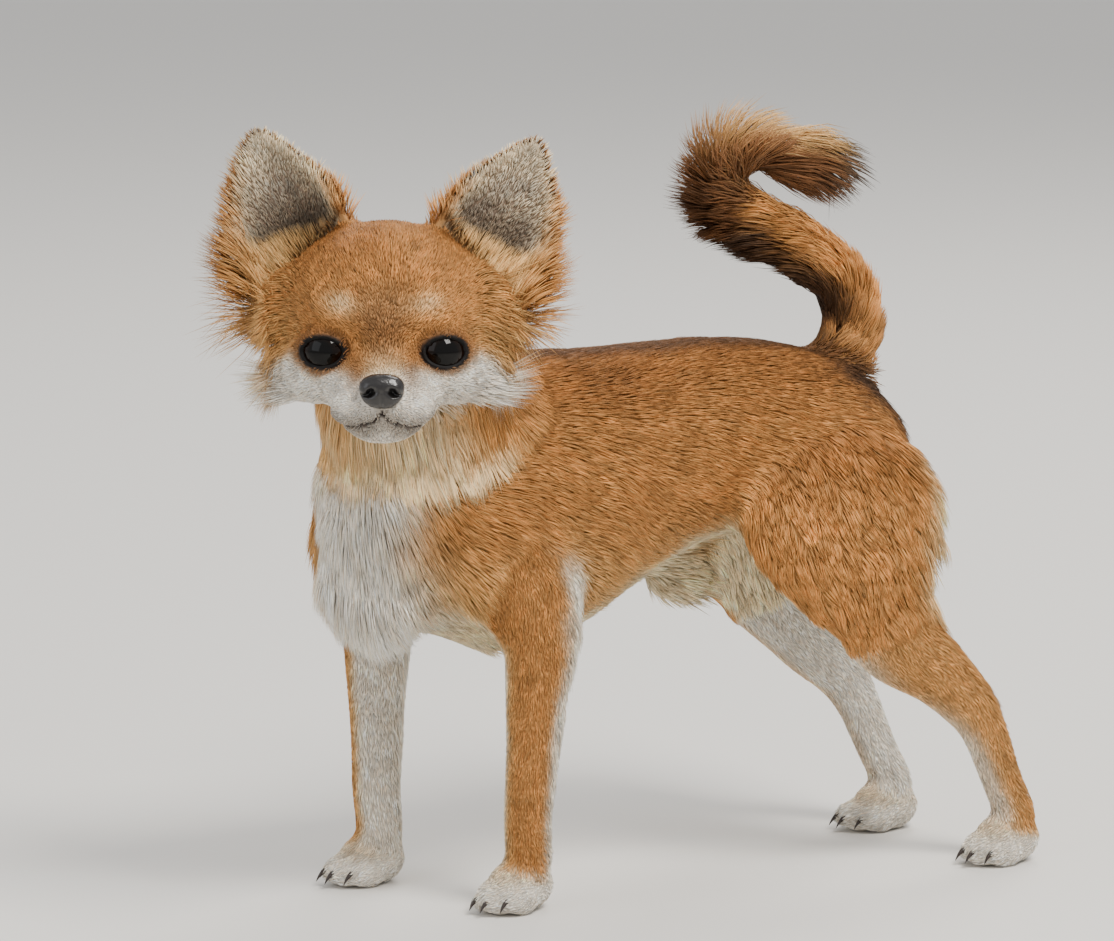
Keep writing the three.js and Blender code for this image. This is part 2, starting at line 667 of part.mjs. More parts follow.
// Head with its eye sockets, lids and mouth line
const lids = [1, -1].flatMap((side) => [lid(side, true), lid(side, false)]);
const mouth = [1, -1].map((side) => {
  const line = MOUTH.map(([x, y, z]) => [side * x, y, z]);
  return bead(line, MOUTH_GROOVE, { steps: 6, sides: 4, matrix: headFrame });
});
const noseSolid = ellipsoid(NOSE.at, NOSE.half, { matrix: headFrame, across: 14, down: 8 });
const headPieces = [...skullCore(), ...cheekFringe(1), ...cheekFringe(-1)];
const sockets = clearOf([eyeball(1), eyeball(-1), noseSolid]);
add("head", unite([...headPieces, ...lids]).subtract(unite([sockets, ...mouth])), finish(TAN));
for (const side of [1, -1]) add(side > 0 ? "eye_l" : "eye_r", eyeball(side), finish(EYE_BROWN, 0.1));
const nostrils = [1, -1].map((side) =>
  ellipsoid([side * NOSTRIL.at[0], NOSTRIL.at[1], NOSTRIL.at[2]], NOSTRIL.half, {
    matrix: headFrame,
    turn: [0, side * 30, side * 25],
    across: 8,
    down: 6,
  }),
);
add("nose", noseSolid.subtract(unite(nostrils)), finish(NOSE_BLACK, 0.35));

const headClear = clearOf(headPieces);
for (const ear of EARS) {
  const shell = unite([earShell(ear), ...earFringe(ear)]);
  add(ear.side > 0 ? "ear_l" : "ear_r", shell.subtract(headClear), finish(TAN));
}

const torsoPieces = [...bodyCore(), ...breastCoat()];
add("torso", unite(torsoPieces).subtract(headClear), finish(TAN));
const trunkClear = unite([headClear, clearOf(torsoPieces)]);
const neckPieces = [neck.solid(), ...ruff()];
add("neck", unite(neckPieces).subtract(trunkClear), finish(TAN));
const bodyClear = unite([trunkClear, clearOf(neckPieces)]);

for (const side of [1, -1]) {
  const end = side > 0 ? "l" : "r";
  const forePaw = paw(FORELEGS[side].foot, 8 + side * 4);
  const fore = foreleg(side);
  const foreCoat = unite([fore.solid(), ...legFeather(fore, 51 + side)]);
  add(`foreleg_${end}`, foreCoat.subtract(unite([bodyClear, clearOf(forePaw)])), finish(TAN));
  add(`forepaw_${end}`, unite(forePaw), finish(CREAM));
  const hind = hindleg(side);
  const hindPaw = paw(HIND_FEET[side], side * 5);
  const thigh = [hind.thigh.solid(), ...trousers(hind.thigh, 61 + side)];
  add(`thigh_${end}`, unite(thigh).subtract(bodyClear), finish(TAN));
  const shank = unite([hind.shank.solid(), ...hockFeather(hind.shank, 65 + side)]);
  const around = unite([bodyClear, clearOf([...thigh, ...hindPaw])]);
  add(`shank_${end}`, shank.subtract(around), finish(TAN));
  add(`hindpaw_${end}`, unite(hindPaw), finish(CREAM));
}

let before = bodyClear;
for (const [name, from, to] of TAIL_PARTS) {
  const length = tailLoft(from, to);
  const pieces = [length.solid(), ...PLUME[name](length)];
  add(name, unite(pieces).subtract(before), finish(SABLE));
  before = unite([before, clearOf(pieces)]);
}

// The model stands on the origin: the middle of its bounding box from above, at the ground.
const box = new THREE.Box3().setFromObject(root, true);
const stand = box.getCenter(V(0, 0, 0)).setZ(box.min.z);
for (const mesh of root.children) mesh.geometry.translate(-stand.x, -stand.y, -stand.z);

export default root;
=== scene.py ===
"""The long-haired chihuahua of the CAD frame, dressed with skin, eyes, claws and coat.

The skin is grown from the same named stations as the CAD solids, in the same millimetres, and lies
inside them by the depth of the coat. The coat is solid tufts that follow the lie of the hair.
"""

import math

import bpy
import numpy as np
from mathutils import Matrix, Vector, kdtree


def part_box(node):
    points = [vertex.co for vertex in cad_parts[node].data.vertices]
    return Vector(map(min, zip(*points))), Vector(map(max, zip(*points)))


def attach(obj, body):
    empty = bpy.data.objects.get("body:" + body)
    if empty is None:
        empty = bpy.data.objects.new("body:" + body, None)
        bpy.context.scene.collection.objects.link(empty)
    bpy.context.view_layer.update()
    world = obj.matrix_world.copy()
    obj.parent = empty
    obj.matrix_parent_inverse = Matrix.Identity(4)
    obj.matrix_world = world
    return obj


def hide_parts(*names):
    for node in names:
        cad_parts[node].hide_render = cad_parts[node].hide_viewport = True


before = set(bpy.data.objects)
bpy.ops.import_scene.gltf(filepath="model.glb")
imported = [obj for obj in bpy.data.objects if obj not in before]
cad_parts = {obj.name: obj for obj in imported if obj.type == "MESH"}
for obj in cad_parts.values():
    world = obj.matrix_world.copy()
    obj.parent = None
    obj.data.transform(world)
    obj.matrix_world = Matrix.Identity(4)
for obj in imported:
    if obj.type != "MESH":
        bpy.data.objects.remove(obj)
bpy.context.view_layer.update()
dice = np.random.default_rng(20)
DEG = math.pi / 180

# Sizes in millimetres. Those of the body are the CAD source's own
WITHERS = 195
SKULL_AT = (32, -109, 215.5)
SKULL_HALF = (34.5, 31, 29.5)
HEAD_YAW = 60
HEAD_PITCH = 3
EYE_AT = (19, -18.5, -14)
EYE_RADIUS = 9.2
EYE_OUT = 14
EYE_SLIT = (7.0, 4.9)  # half width and half height of the opening between the lids
LID_START = 0.62  # the share of that opening which is stretched out to its edge
LID_REACH = 2.0  # how far out the skin is drawn for it, in openings
EAR_CHART = 0.24  # half of an ear's width on the unwrap
CHEEK_AT, CHEEK_HALF = (19, -7, -19), (16, 19, 15)
BROW_AT, BROW_HALF = (14, -17, -1), (13, 12, 12)
LIP_AT, LIP_HALF = (9.5, -42, -32), (8.6, 11, 7.6)
NOSE_AT = (0, -53.5, -24.5)
NOSE_HALF = (7.4, 4.6, 5.8)
VOXEL = 1.2
FLOOR_GAP = 0.25
MOUTH_WIDTH, MOUTH_DEPTH = 0.85, 1.7
FILL_ROUNDS, FILL_PASSES, MOST_FILL = 2, 110, 9  # how the hollows where the parts join are filled
GLOBE_INSET = 0.25
BULGE, BULGE_SPREAD = 0.5, 0.62  # the clear front of the eye: its height, and its spread in radians
PUPIL, IRIS = 0.46, 0.93  # their edges, in radians from the axis of the eye
HAIR_START = (0, -62, -30)  # where the hair of the head starts from, in the head's frame
MM = 0.001

# Colours, sRGB
TAN = (0.77, 0.54, 0.3)
RED_TAN = (0.64, 0.42, 0.215)
GOLD = (0.87, 0.69, 0.44)
CREAM = (0.93, 0.85, 0.7)
WHITE = (0.95, 0.915, 0.86)
SABLE = (0.22, 0.145, 0.095)
BROWN = (0.44, 0.29, 0.17)
GREY = (0.58, 0.54, 0.49)
SHADOW = (0.31, 0.26, 0.21)
BLACK = (0.03, 0.025, 0.022)


def linear(colour):
    c = np.asarray(colour, float)
    return np.where(c <= 0.04045, c / 12.92, ((c + 0.055) / 1.055) ** 2.4)


def unit(v):
    v = np.asarray(v, float)
    return v / np.maximum(np.linalg.norm(v, axis=-1, keepdims=True), 1e-9)


def step(low, high, x):
    """0 below low, 1 above high and smooth between; low may be the larger."""
    t = np.clip((x - low) / (high - low), 0, 1)
    return t * t * (3 - 2 * t)


def bell(*offsets):
    """1 where every offset is 0, falling smoothly to nothing at about 2."""
    return np.exp(-sum(offset**2 for offset in offsets))


def mix(a, b, share):
    share = np.asarray(share)[..., None]
    return np.asarray(a) * (1 - share) + np.asarray(b) * share


def layered(colour, *layers):
    """The colour with each layer's colour mixed in by its share, in turn."""
    for own, share in layers:
        colour = mix(colour, own, share)
    return colour


def rotation(x=0, y=0, z=0):
    cx, sx, cy, sy, cz, sz = (f(v * DEG) for v in (x, y, z) for f in (math.cos, math.sin))
    rx = np.array([[1, 0, 0], [0, cx, -sx], [0, sx, cx]])
    ry = np.array([[cy, 0, sy], [0, 1, 0], [-sy, 0, cy]])
    rz = np.array([[cz, -sz, 0], [sz, cz, 0], [0, 0, 1]])
    return rx @ ry @ rz


HEAD_TURN = rotation(z=HEAD_YAW) @ rotation(x=-HEAD_PITCH)


def from_head(q):
    return np.asarray(q, float) @ HEAD_TURN.T + SKULL_AT


def to_head(p):
    return (np.asarray(p, float) - SKULL_AT) @ HEAD_TURN


def mirrored(at, side):
    return (side * at[0], at[1], at[2])


def value_noise(p, size, seed):
    """Smooth noise from -1 to 1 over points in space, with features of the given size."""
    q = np.asarray(p, float) / size
    cell = np.floor(q).astype(np.int64)
    f = q - cell
    f = f * f * (3 - 2 * f)
    total = np.zeros(len(q))
    for dx in (0, 1):
        for dy in (0, 1):
            for dz in (0, 1):
                c = cell + (dx, dy, dz)
                h = (c[:, 0] * 73856093) ^ (c[:, 1] * 19349663) ^ (c[:, 2] * 83492791) ^ (seed * 2654435)
                h = (h ^ (h >> 13)) * 1274126177 & 0x7FFFFFFF
                w = np.where(dx, f[:, 0], 1 - f[:, 0])
                w = w * np.where(dy, f[:, 1], 1 - f[:, 1]) * np.where(dz, f[:, 2], 1 - f[:, 2])
                total += w * (((h ^ (h >> 16)) & 0xFFFF) / 32767.5 - 1)
    return total


class Loft:
    """A form through stations of x, y, z, half width, reach upwards and reach downwards."""

    def __init__(self, stations, up=(0, 0, 1), square=2.0, place=None):
        s = np.array(stations, float)
        self.at, self.size = s[:, :3], s[:, 3:]
        self.up, self.square, self.place = np.array(up, float), square, place

    def centre(self, t):
        n = len(self.at)
        ends = [2 * self.at[0] - self.at[1]], self.at, [2 * self.at[-1] - self.at[-2]]
        pts = np.vstack(ends)
        f = np.clip(t, 0, 1) * (n - 1)
        i = np.minimum(f.astype(int), n - 2)
        w = (f - i)[:, None]
        p0, p1, p2, p3 = (pts[i + k] for k in range(4))
        pairs = (p0, p1), (p1, p2), (p2, p3)
        d0, d1, d2 = (np.maximum(np.sum((a - b) ** 2, 1) ** 0.25, 1e-4)[:, None] for a, b in pairs)
        m1 = ((p1 - p0) / d0 - (p2 - p0) / (d0 + d1) + (p2 - p1) / d1) * d1
        m2 = ((p2 - p1) / d1 - (p3 - p1) / (d1 + d2) + (p3 - p2) / d2) * d1
        c2 = -3 * p1 + 3 * p2 - 2 * m1 - m2
        c3 = 2 * p1 - 2 * p2 + m1 + m2
        return p1 + m1 * w + c2 * w**2 + c3 * w**3

    def sizes(self, t):
        n = len(self.size) - 1
        f = np.clip(t, 0, 1) * n
        i = np.minimum(f.astype(int), n - 1)
        k = (f - i)[:, None]
        a, b, c, d = (self.size[np.clip(i + j, 0, n)] for j in (-1, 0, 1, 2))
        m0, m1 = (c - a) / 2, (d - b) / 2
        v = (2 * k**3 - 3 * k**2 + 1) * b + (k**3 - 2 * k**2 + k) * m0
        v = v + (-2 * k**3 + 3 * k**2) * c + (k**3 - k**2) * m1
        return np.clip(v, np.minimum(b, c) * 0.97, np.maximum(b, c) * 1.03)

    def surface(self, t, angle):
        c = self.centre(t)
        way = unit(self.centre(np.minimum(t + 1e-3, 1)) - self.centre(np.maximum(t - 1e-3, 0)))
        across = unit(np.cross(way, self.up))
        upward = unit(np.cross(across, way))
        size = self.sizes(t)
        co, si = np.cos(angle), np.sin(angle)
        power = 2 / self.square
        wide = size[:, 0] * np.sign(co) * np.abs(co) ** power
        tall = np.where(si > 0, size[:, 1], size[:, 2]) * np.sign(si) * np.abs(si) ** power
        point = c + across * wide[:, None] + upward * tall[:, None]
        normal = unit(across * co[:, None] + upward * si[:, None])
        if self.place is not None:
            point = from_head(point)
            normal, way = normal @ HEAD_TURN.T, way @ HEAD_TURN.T
        return point, normal, way

    def grid(self, rows, sides):
        t = np.repeat(np.linspace(0, 1, rows), sides)
        a = np.tile(np.linspace(0, 2 * math.pi, sides, endpoint=False), rows)
        return t, a

    def mesh(self, rows=60, sides=48):
        point, _, _ = self.surface(*self.grid(rows, sides))
        ends = self.centre(np.array([0.0, 1.0]))
        way = unit(self.centre(np.array([0.01, 1.0])) - self.centre(np.array([0.0, 0.99])))
        ends = ends + way * (self.size[[0, -1], 0] * 0.35)[:, None] * np.array([[-1], [1]])
        if self.place is not None:
            ends = from_head(ends)
        return tube(point, rows, sides, ends)


def ring_faces(rows, sides, start=0):
    """Quads between the rings of a grid of points, the first of which has the index start."""
    r, k = np.meshgrid(np.arange(rows - 1), np.arange(sides), indexing="ij")
    a, b = (r * sides + k).ravel() + start, (r * sides + (k + 1) % sides).ravel() + start
    return [tuple(f) for f in np.stack([a, b, b + sides, a + sides], 1)]


def tube(point, rows, sides, ends):
    """Rings of points joined into a closed mesh; returns points and faces."""
    verts = np.vstack([point, ends])
    faces = ring_faces(rows, sides)
    first, last = len(point), len(point) + 1
    top = (rows - 1) * sides
    faces += [(first, (j + 1) % sides, j) for j in range(sides)]
    faces += [(last, top + j, top + (j + 1) % sides) for j in range(sides)]
    return verts, faces


def ball(at, half, turn=(0, 0, 0), place=None, rows=28, sides=40):
    """An ellipsoid's points and faces."""
    lat = np.repeat(np.linspace(0.02, math.pi - 0.02, rows), sides)
    lon = np.tile(np.linspace(0, 2 * math.pi, sides, endpoint=False), rows)
    p = np.stack([np.sin(lat) * np.cos(lon), np.sin(lat) * np.sin(lon), np.cos(lat)], 1)
    p = np.vstack([p, [[0, 0, 1], [0, 0, -1]]]) * half
    p = p @ rotation(*turn).T + at
    if place is not None:
        p = from_head(p)
    return tube(p[:-2], rows, sides, p[-2:])


# Body forms

TRUNK_ROWS = [
    (-112, 146, 116, 13),
    (-106, 159, 103, 25),
    (-92, 176, 92, 36),
    (-68, WITHERS - 3, 85, 42),
    (-42, WITHERS - 1, 86, 45),
    (-16, WITHERS - 2, 99, 45),
    (10, WITHERS - 3, 112, 42),
    (40, WITHERS - 3, 119, 38),
    (70, WITHERS - 8, 120, 37),
    (92, WITHERS - 20, 121, 33),
    (107, WITHERS - 36, 127, 24),
    (114, 148, 138, 10),
]


def trunk_station(y, top, bottom, half):
    middle = bottom + (top - bottom) * 0.55
    return (0, y, middle, half, top - middle, middle - bottom)


trunk = Loft([trunk_station(*row) for row in TRUNK_ROWS], square=2.15)
neck = Loft(
    [
        (0, -52, 150, 37, 35, 37),
        (2, -70, 167, 36, 33, 36),
        (11, -86, 185, 33, 29, 33),
        (23, -97, 201, 27, 25, 27),
        (29, -103, 209, 20, 18, 19),
    ],
    up=(0, 0.6, 0.8),
)
MUZZLE = [
    (0, -52.5, -29, 8, 6.5, 6),
    (0, -49, -29.5, 13, 8.5, 8.5),
    (0, -42, -29.5, 15.5, 10, 10),
    (0, -33, -28, 17.5, 12, 12),
    (0, -22, -24, 22, 15, 15),
    (0, -10, -18, 24, 16, 17),
]
JAW = [
    (0, -47, -38.5, 6, 4, 3.5),
    (0, -43, -38.5, 10.5, 6, 5),
    (0, -34, -37, 13.5, 7, 6.5),
    (0, -20, -33, 18, 8, 8),
    (0, -4, -27, 21, 9, 9),
]
muzzle, jaw = Loft(MUZZLE, place="head"), Loft(JAW, place="head")
FORELEGS = {1: ((37, -52), (29, -53)), -1: ((-36, -77), (-35, -77))}
HIND_FEET = {1: (48, 137), -1: (-22, 130)}
LEG_UP = (0, -1, 0)


def foreleg(side):
    elbow, foot = (np.array(p, float) for p in FORELEGS[side])

    def at(share, z, ahead=0):
        x, y = elbow + (foot - elbow) * share
        return (x, y - ahead, z)

    return Loft(
        [
            (*at(0, 132, 8), 6, 8, 10),
            (*at(0, 118, 4), 11.5, 15, 17),
            (*at(0, 100), 12.5, 14, 15),
            (*at(0.3, 76), 10.5, 11.5, 12),
            (*at(0.6, 52), 9.4, 9.8, 10),
            (*at(0.85, 33), 9.2, 9.4, 9.2),
            (*at(1, 18, -1), 9, 9, 9.2),
            (*at(1, 9), 8.8, 8.8, 8.8),
        ],
        up=LEG_UP,
    )


def hindleg(side):
    fx, fy = HIND_FEET[side]
    hip = side * 40

    def at(share, y, z):
        return (hip + (fx - hip) * share, y, z)

    thigh = [
        (side * 25, 82, 158, 12, 26, 24),
        (side * 30, 78, 146, 18, 38, 34),
        (side * 35, 72, 126, 19, 42, 40),
        (*at(0, 75, 108), 17, 29, 33),
        (*at(0.1, 82, 92), 13, 18, 23),
    ]
    shank = [
        (*at(0.08, 82, 99), 12, 22, 24),
        (*at(0.15, 92, 83), 11.5, 17, 17),
        (*at(0.35, fy - 29, 70), 9.5, 13, 13),
        (*at(0.5, fy - 17, 58), 8.6, 11, 10.5),
        (*at(0.6, fy - 11, 48), 8, 9, 9.5),
        (*at(0.8, fy - 4, 30), 8, 8.2, 8.2),
        (*at(1, fy + 1, 16), 8.4, 8.2, 8.2),
        (*at(1, fy - 1, 8), 8.2, 8.2, 8.2),
    ]
    return Loft(thigh, up=LEG_UP), Loft(shank, up=LEG_UP)


TAIL = [
    (0, 88, 170, 12),
    (0, 96, 186, 11),
    (1, 94, 202, 9.5),
    (2, 80, 217, 8.5),
    (3, 61, 230, 7.5),
    (4, 44, 242, 6.8),
    (5, 47, 252, 6),
    (6, 64, 255, 5),
    (6, 82, 253, 3.5),
]
tail = Loft([(x, y, z, r, r, r) for x, y, z, r in TAIL], up=(1, 0, 0))
OUTER_TOE, INNER_TOE = (4.1, 8.2, 5.6), (4.2, 9, 6)
TOES = [(-7.2, 8.5, OUTER_TOE), (-2.6, 12.5, INNER_TOE), (2.6, 12.5, INNER_TOE), (7.2, 8.5, OUTER_TOE)]
PAWS = [(*FORELEGS[1][1], 12), (*FORELEGS[-1][1], 4), (*HIND_FEET[1], 5), (*HIND_FEET[-1], -5)]
EARS = [
    {"side": 1, "base": (31, 6, 11), "tip": (51, 9, 55), "facing": (0.28, -1, 0.02)},
    {"side": -1, "base": (-28, 6, 13), "tip": (-44, 9, 58.5), "facing": (-0.2, -1, 0.02)},
]
EAR_HALF = 20  # widest half width
EAR_CUP = (72, 34)  # half of the arc that it bends through, at its root and its tip, in degrees
EAR_THICK = (3.2, 2.4)  # at the middle and at the rim


def ear_point(ear, across, along, depth=0.0):
    """A point of an ear and its outward direction, for arrays across (-1 to 1) and along (0 to 1)."""
    base, tip = np.array(ear["base"], float), np.array(ear["tip"], float)
    size = np.linalg.norm(tip - base)
    axis = (tip - base) / size
    face = np.array(ear["facing"], float)
    face = unit(face - axis * (face @ axis))
    side = np.cross(axis, face)
    up = np.clip(along, 0, 1)
    half = EAR_HALF * (1 - up**2) ** 0.85 + 0.35
    arc = (EAR_CUP[0] + (EAR_CUP[1] - EAR_CUP[0]) * up) * DEG
    turn = across * arc
    out = half * np.sin(turn) / np.sin(arc)
    back = -half * (np.cos(turn) - np.cos(arc)) / np.sin(arc)
    point = base + np.outer(size * along, axis) + np.outer(out, side) + np.outer(back, face)
    normal = np.outer(np.cos(turn), face) - np.outer(np.sin(turn), side)
    point = point + normal * np.reshape(depth, (-1, 1))
    return from_head(point), normal @ HEAD_TURN.T


def ear_mesh(ear, n=28, m=40):
    verts, faces = [], []
    across, along = np.meshgrid(np.linspace(-1, 1, n + 1), np.linspace(-0.3, 1, m + 1))
    across, along = across.ravel(), along.ravel()
    rim = np.maximum(np.abs(across) ** 3, np.clip(along, 0, 1) ** 6)
    thick = EAR_THICK[0] + (EAR_THICK[1] - EAR_THICK[0]) * rim
    for face in (1, -1):
        verts.append(ear_point(ear, across, along, face * thick / 2)[0])
    verts = np.vstack(verts)
    size = (n + 1) * (m + 1)

    def index(face, i, j):
        return face * size + j * (n + 1) + i

    for j in range(m):
        for i in range(n):
            around = ((i, j), (i + 1, j), (i + 1, j + 1), (i, j + 1))
            faces.append(tuple(index(0, *at) for at in around))
            faces.append(tuple(index(1, *around[k]) for k in (0, 3, 2, 1)))
    for j in range(m):
        faces.append((index(0, 0, j), index(0, 0, j + 1), index(1, 0, j + 1), index(1, 0, j)))
        faces.append((index(0, n, j), index(1, n, j), index(1, n, j + 1), index(0, n, j + 1)))
    for i in range(n):
        faces.append((index(0, i, 0), index(1, i, 0), index(1, i + 1, 0), index(0, i + 1, 0)))
        faces.append((index(0, i, m), index(0, i + 1, m), index(1, i + 1, m), index(1, i, m)))
    return verts, faces


def eye_turn(side):
    return HEAD_TURN @ rotation(z=side * EYE_OUT)


def eye_centre(side):
    return from_head([mirrored(EYE_AT, side)])[0]


def in_eye(p, side):
    return (p - eye_centre(side)) @ eye_turn(side)


def from_eye(e, side):
    return e @ eye_turn(side).T + eye_centre(side)


# The CAD model is shifted as a whole, by the difference between its eye and the modelled one.
low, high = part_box("eye_l")
SHIFT = eye_centre(1) - np.array(low + high) / 2 / MM
SHIFT[2] = 0


def placed(points):
    """Modelled millimetres to the frame's metres."""
    return (np.asarray(points, float) - SHIFT) * MM


def new_object(name, verts, faces):
    """Faces are a list of tuples or an array of triangles; verts are in modelled millimetres."""
    mesh = bpy.data.meshes.new(name)
    if isinstance(faces, np.ndarray):
        mesh.vertices.add(len(verts))
        mesh.vertices.foreach_set("co", placed(verts).astype(np.float32).ravel())
        mesh.loops.add(faces.size)
        mesh.loops.foreach_set("vertex_index", faces.astype(np.int32).ravel())
        mesh.polygons.add(len(faces))
        mesh.polygons.foreach_set("loop_start", np.arange(0, faces.size, 3, dtype=np.int32))
        mesh.update(calc_edges=True)
    else:
        mesh.from_pydata(placed(verts).tolist(), [], [tuple(int(i) for i in f) for f in faces])
    mesh.validate()
    mesh.polygons.foreach_set("use_smooth", np.ones(len(mesh.polygons), bool))
    obj = bpy.data.objects.new(name, mesh)
    bpy.context.scene.collection.objects.link(obj)
    return obj


def drop(obj):
    mesh = obj.data
    bpy.data.objects.remove(obj)
    bpy.data.meshes.remove(mesh)


# Skin

def lid_cord(side, upper, radius):
    """A bead of skin round half of the eye's opening."""
    a = np.linspace(0, math.pi, 15)
    x = 0.84 * np.cos(a)
    z = np.where(upper, 0.68, -0.7) * np.sin(a)
    y = -np.sqrt(np.maximum(0.02, 1 - x * x - z * z)) * 1.02
    p = from_eye(np.stack([x, y, z], 1) * EYE_RADIUS, side)
    size = radius * (0.55 + 0.45 * np.sin(a))
    stations = np.hstack([p, np.repeat(size[:, None], 3, 1)])
    return Loft(stations, up=tuple(eye_turn(side) @ (0, -1, 0))).mesh(30, 12)


def skin_forms():
    forms = [trunk.mesh(90, 72), neck.mesh(), muzzle.mesh(), jaw.mesh(40, 36), tail.mesh(90, 28)]
    for side in (1, -1):
        y = -60 if side > 0 else -76
        forms.append(ball((side * 30, y, 138), (17, 27, 41), (-14, 0, side * 6)))
        forms.append(foreleg(side).mesh(50, 36))
        forms += [part.mesh(50, 40) for part in hindleg(side)]
        forms.append(ball(mirrored(CHEEK_AT, side), CHEEK_HALF, (0, 0, side * 10), "head"))
        forms.append(ball(mirrored(BROW_AT, side), BROW_HALF, place="head"))
        forms.append(ball(mirrored(LIP_AT, side), LIP_HALF, (0, 0, -side * 6), "head"))
        forms += [lid_cord(side, upper, 1.7) for upper in (True, False)]
    forms.append(ball((-4, -94, 116), (29, 19, 27)))
    forms.append(ball((0, 25, 107), (7, 16, 13), (8, 0, 0)))
    forms.append(ball((0, 0, 0), SKULL_HALF, place="head", rows=40, sides=60))
    forms += [ear_mesh(ear) for ear in EARS]
    for x, y, turn in PAWS:
        turned = rotation(z=turn)
        forms.append(ball((x, y - 2, 8.5), (10.4, 12.5, 9.5), (0, 0, turn), rows=20, sides=24))
        for across, ahead, half in TOES:
            at = turned @ (across, -ahead, 5.2) + (x, y, 0)
            forms.append(ball(at, half, (0, 0, turn), rows=16, sides=20))
    return forms


def remeshed(forms):
    """One closed surface over all the forms: points and quads, in modelled millimetres."""
    verts, faces, count = [], [], 0
    for v, f in forms:
        verts.append(v)
        faces += [tuple(int(i) + count for i in face) for face in f]
        count += len(v)
    raw = new_object("raw_skin", np.vstack(verts), faces)
    fuse = raw.modifiers.new("fuse", "REMESH")
    fuse.mode, fuse.voxel_size = "VOXEL", VOXEL * MM
    shape = raw.evaluated_get(bpy.context.evaluated_depsgraph_get()).to_mesh()
    co = np.empty(len(shape.vertices) * 3, np.float32)
    shape.vertices.foreach_get("co", co)
    quads = np.empty(len(shape.loops), np.int32)
    shape.loops.foreach_get("vertex_index", quads)
    raw.evaluated_get(bpy.context.evaluated_depsgraph_get()).to_mesh_clear()
    drop(raw)
    return co.reshape(-1, 3).astype(float) * 1000 + SHIFT, quads.reshape(-1, 4)


class Surface:
    """A quad mesh with the neighbour sums that smoothing needs."""

    def __init__(self, points, quads):
        self.p, self.quads = points, quads
        pairs = np.vstack([quads[:, [i, (i + 1) % 4]] for i in range(4)])
        pairs = np.unique(np.sort(pairs, 1), axis=0)
        self.a = np.concatenate([pairs[:, 0], pairs[:, 1]])
        self.b = np.concatenate([pairs[:, 1], pairs[:, 0]])
        self.count = np.maximum(np.bincount(self.a, minlength=len(points)), 1)

    def spread(self, value, times, share=0.5):
        """Each value moves towards the mean of its neighbours, share of the way, times over."""
        v = np.array(value, float)
        flat = v.reshape(len(v), -1)
        share = np.broadcast_to(share, len(v))[:, None]
        for _ in range(times):
            mean = np.stack(
                [np.bincount(self.a, flat[self.b, c], minlength=len(v)) for c in range(flat.shape[1])], 1
            )
            flat = flat + share * (mean / self.count[:, None] - flat)
        return flat.reshape(v.shape)

    def normals(self):
        p, q = self.p, self.quads
        n = np.cross(p[q[:, 2]] - p[q[:, 0]], p[q[:, 3]] - p[q[:, 1]])
        total = np.zeros_like(p)
        for k in range(4):
            for c in range(3):
                total[:, c] += np.bincount(q[:, k], n[:, c], minlength=len(p))
        return unit(total)


# Every part's samples: where on the part a point of skin lies, and which way the hair runs there

PARTS = ["trunk", "neck", "head", "ear_l", "ear_r", "fore_l", "fore_r", "thigh_l", "thigh_r",
         "shank_l", "shank_r", "paw", "tail"]
PART = {name: i for i, name in enumerate(PARTS)}


def part_samples():
    rows = []

    def take(name, point, s, a, way):
        k = np.full(len(point), PART[name])
        rows.append(np.column_stack([point, k, s, a, way]))

    def from_loft(name, loft, n=70, m=48, low=0.0, high=1.0):
        t, a = loft.grid(n, m)
        t = low + (high - low) * t
        point, _, way = loft.surface(t, a)
        take(name, point, t, a / (2 * math.pi), way)

    from_loft("trunk", trunk, 110, 64)
    from_loft("neck", neck, 50, 64)
    from_loft("tail", tail, 110, 24)
    for side, end in ((1, "l"), (-1, "r")):
        thigh, shank = hindleg(side)
        from_loft("fore_" + end, foreleg(side), high=0.93)
        from_loft("thigh_" + end, thigh)
        from_loft("shank_" + end, shank, low=0.1, high=0.95)
    for p in head_points():
        q = to_head(p)
        a = np.arctan2(q[:, 0], q[:, 2] + 12) / (2 * math.pi) + 0.5
        take("head", p, np.clip((q[:, 1] + 60) / 95, 0, 1), a, unit(q - HAIR_START) @ HEAD_TURN.T)
    for ear in EARS:
        name = "ear_l" if ear["side"] > 0 else "ear_r"
        across, along = (v.ravel() for v in np.meshgrid(np.linspace(-1, 1, 33), np.linspace(-0.05, 1, 45)))
        axis = unit(np.array(ear["tip"], float) - ear["base"])
        for face in (1, -1):
            p, _ = ear_point(ear, across, along, face * 1.4)
            side_way = np.outer(across * 0.9, np.cross(axis, unit(np.array(ear["facing"]))))
            way = unit(axis + side_way) @ HEAD_TURN.T
            take(name, p, np.clip(along, 0, 1), 0.5 - 0.25 * face + EAR_CHART * across, way)
    for x, y, turn in PAWS:
        p, _ = ball((x, y - 5, 7), (12, 17, 9), (0, 0, turn))
        way = np.tile(unit(rotation(z=turn) @ (0, -1, -0.25)), (len(p), 1))
        q = (p - (x, y, 0)) @ rotation(z=turn)
        a = np.arctan2(q[:, 0], q[:, 2] - 6) / (2 * math.pi) + 0.5
        take("paw", p, np.clip((q[:, 1] + 25) / 40, 0, 1), a, way)
    return np.vstack(rows)


def head_points():
    """Points over each form of the head."""
    balls = [((0, 0, 0), SKULL_HALF)]
    for side in (1, -1):
        balls += [(mirrored(CHEEK_AT, side), CHEEK_HALF), (mirrored(BROW_AT, side), BROW_HALF)]
    points = [ball(at, half, place="head")[0] for at, half in balls]
    return points + [loft.surface(*loft.grid(40, 40))[0] for loft in (muzzle, jaw)]


def tree_of(points):
    tree = kdtree.KDTree(len(points))
    for i, row in enumerate(points.tolist()):
        tree.insert(row, i)
    tree.balance()
    return tree


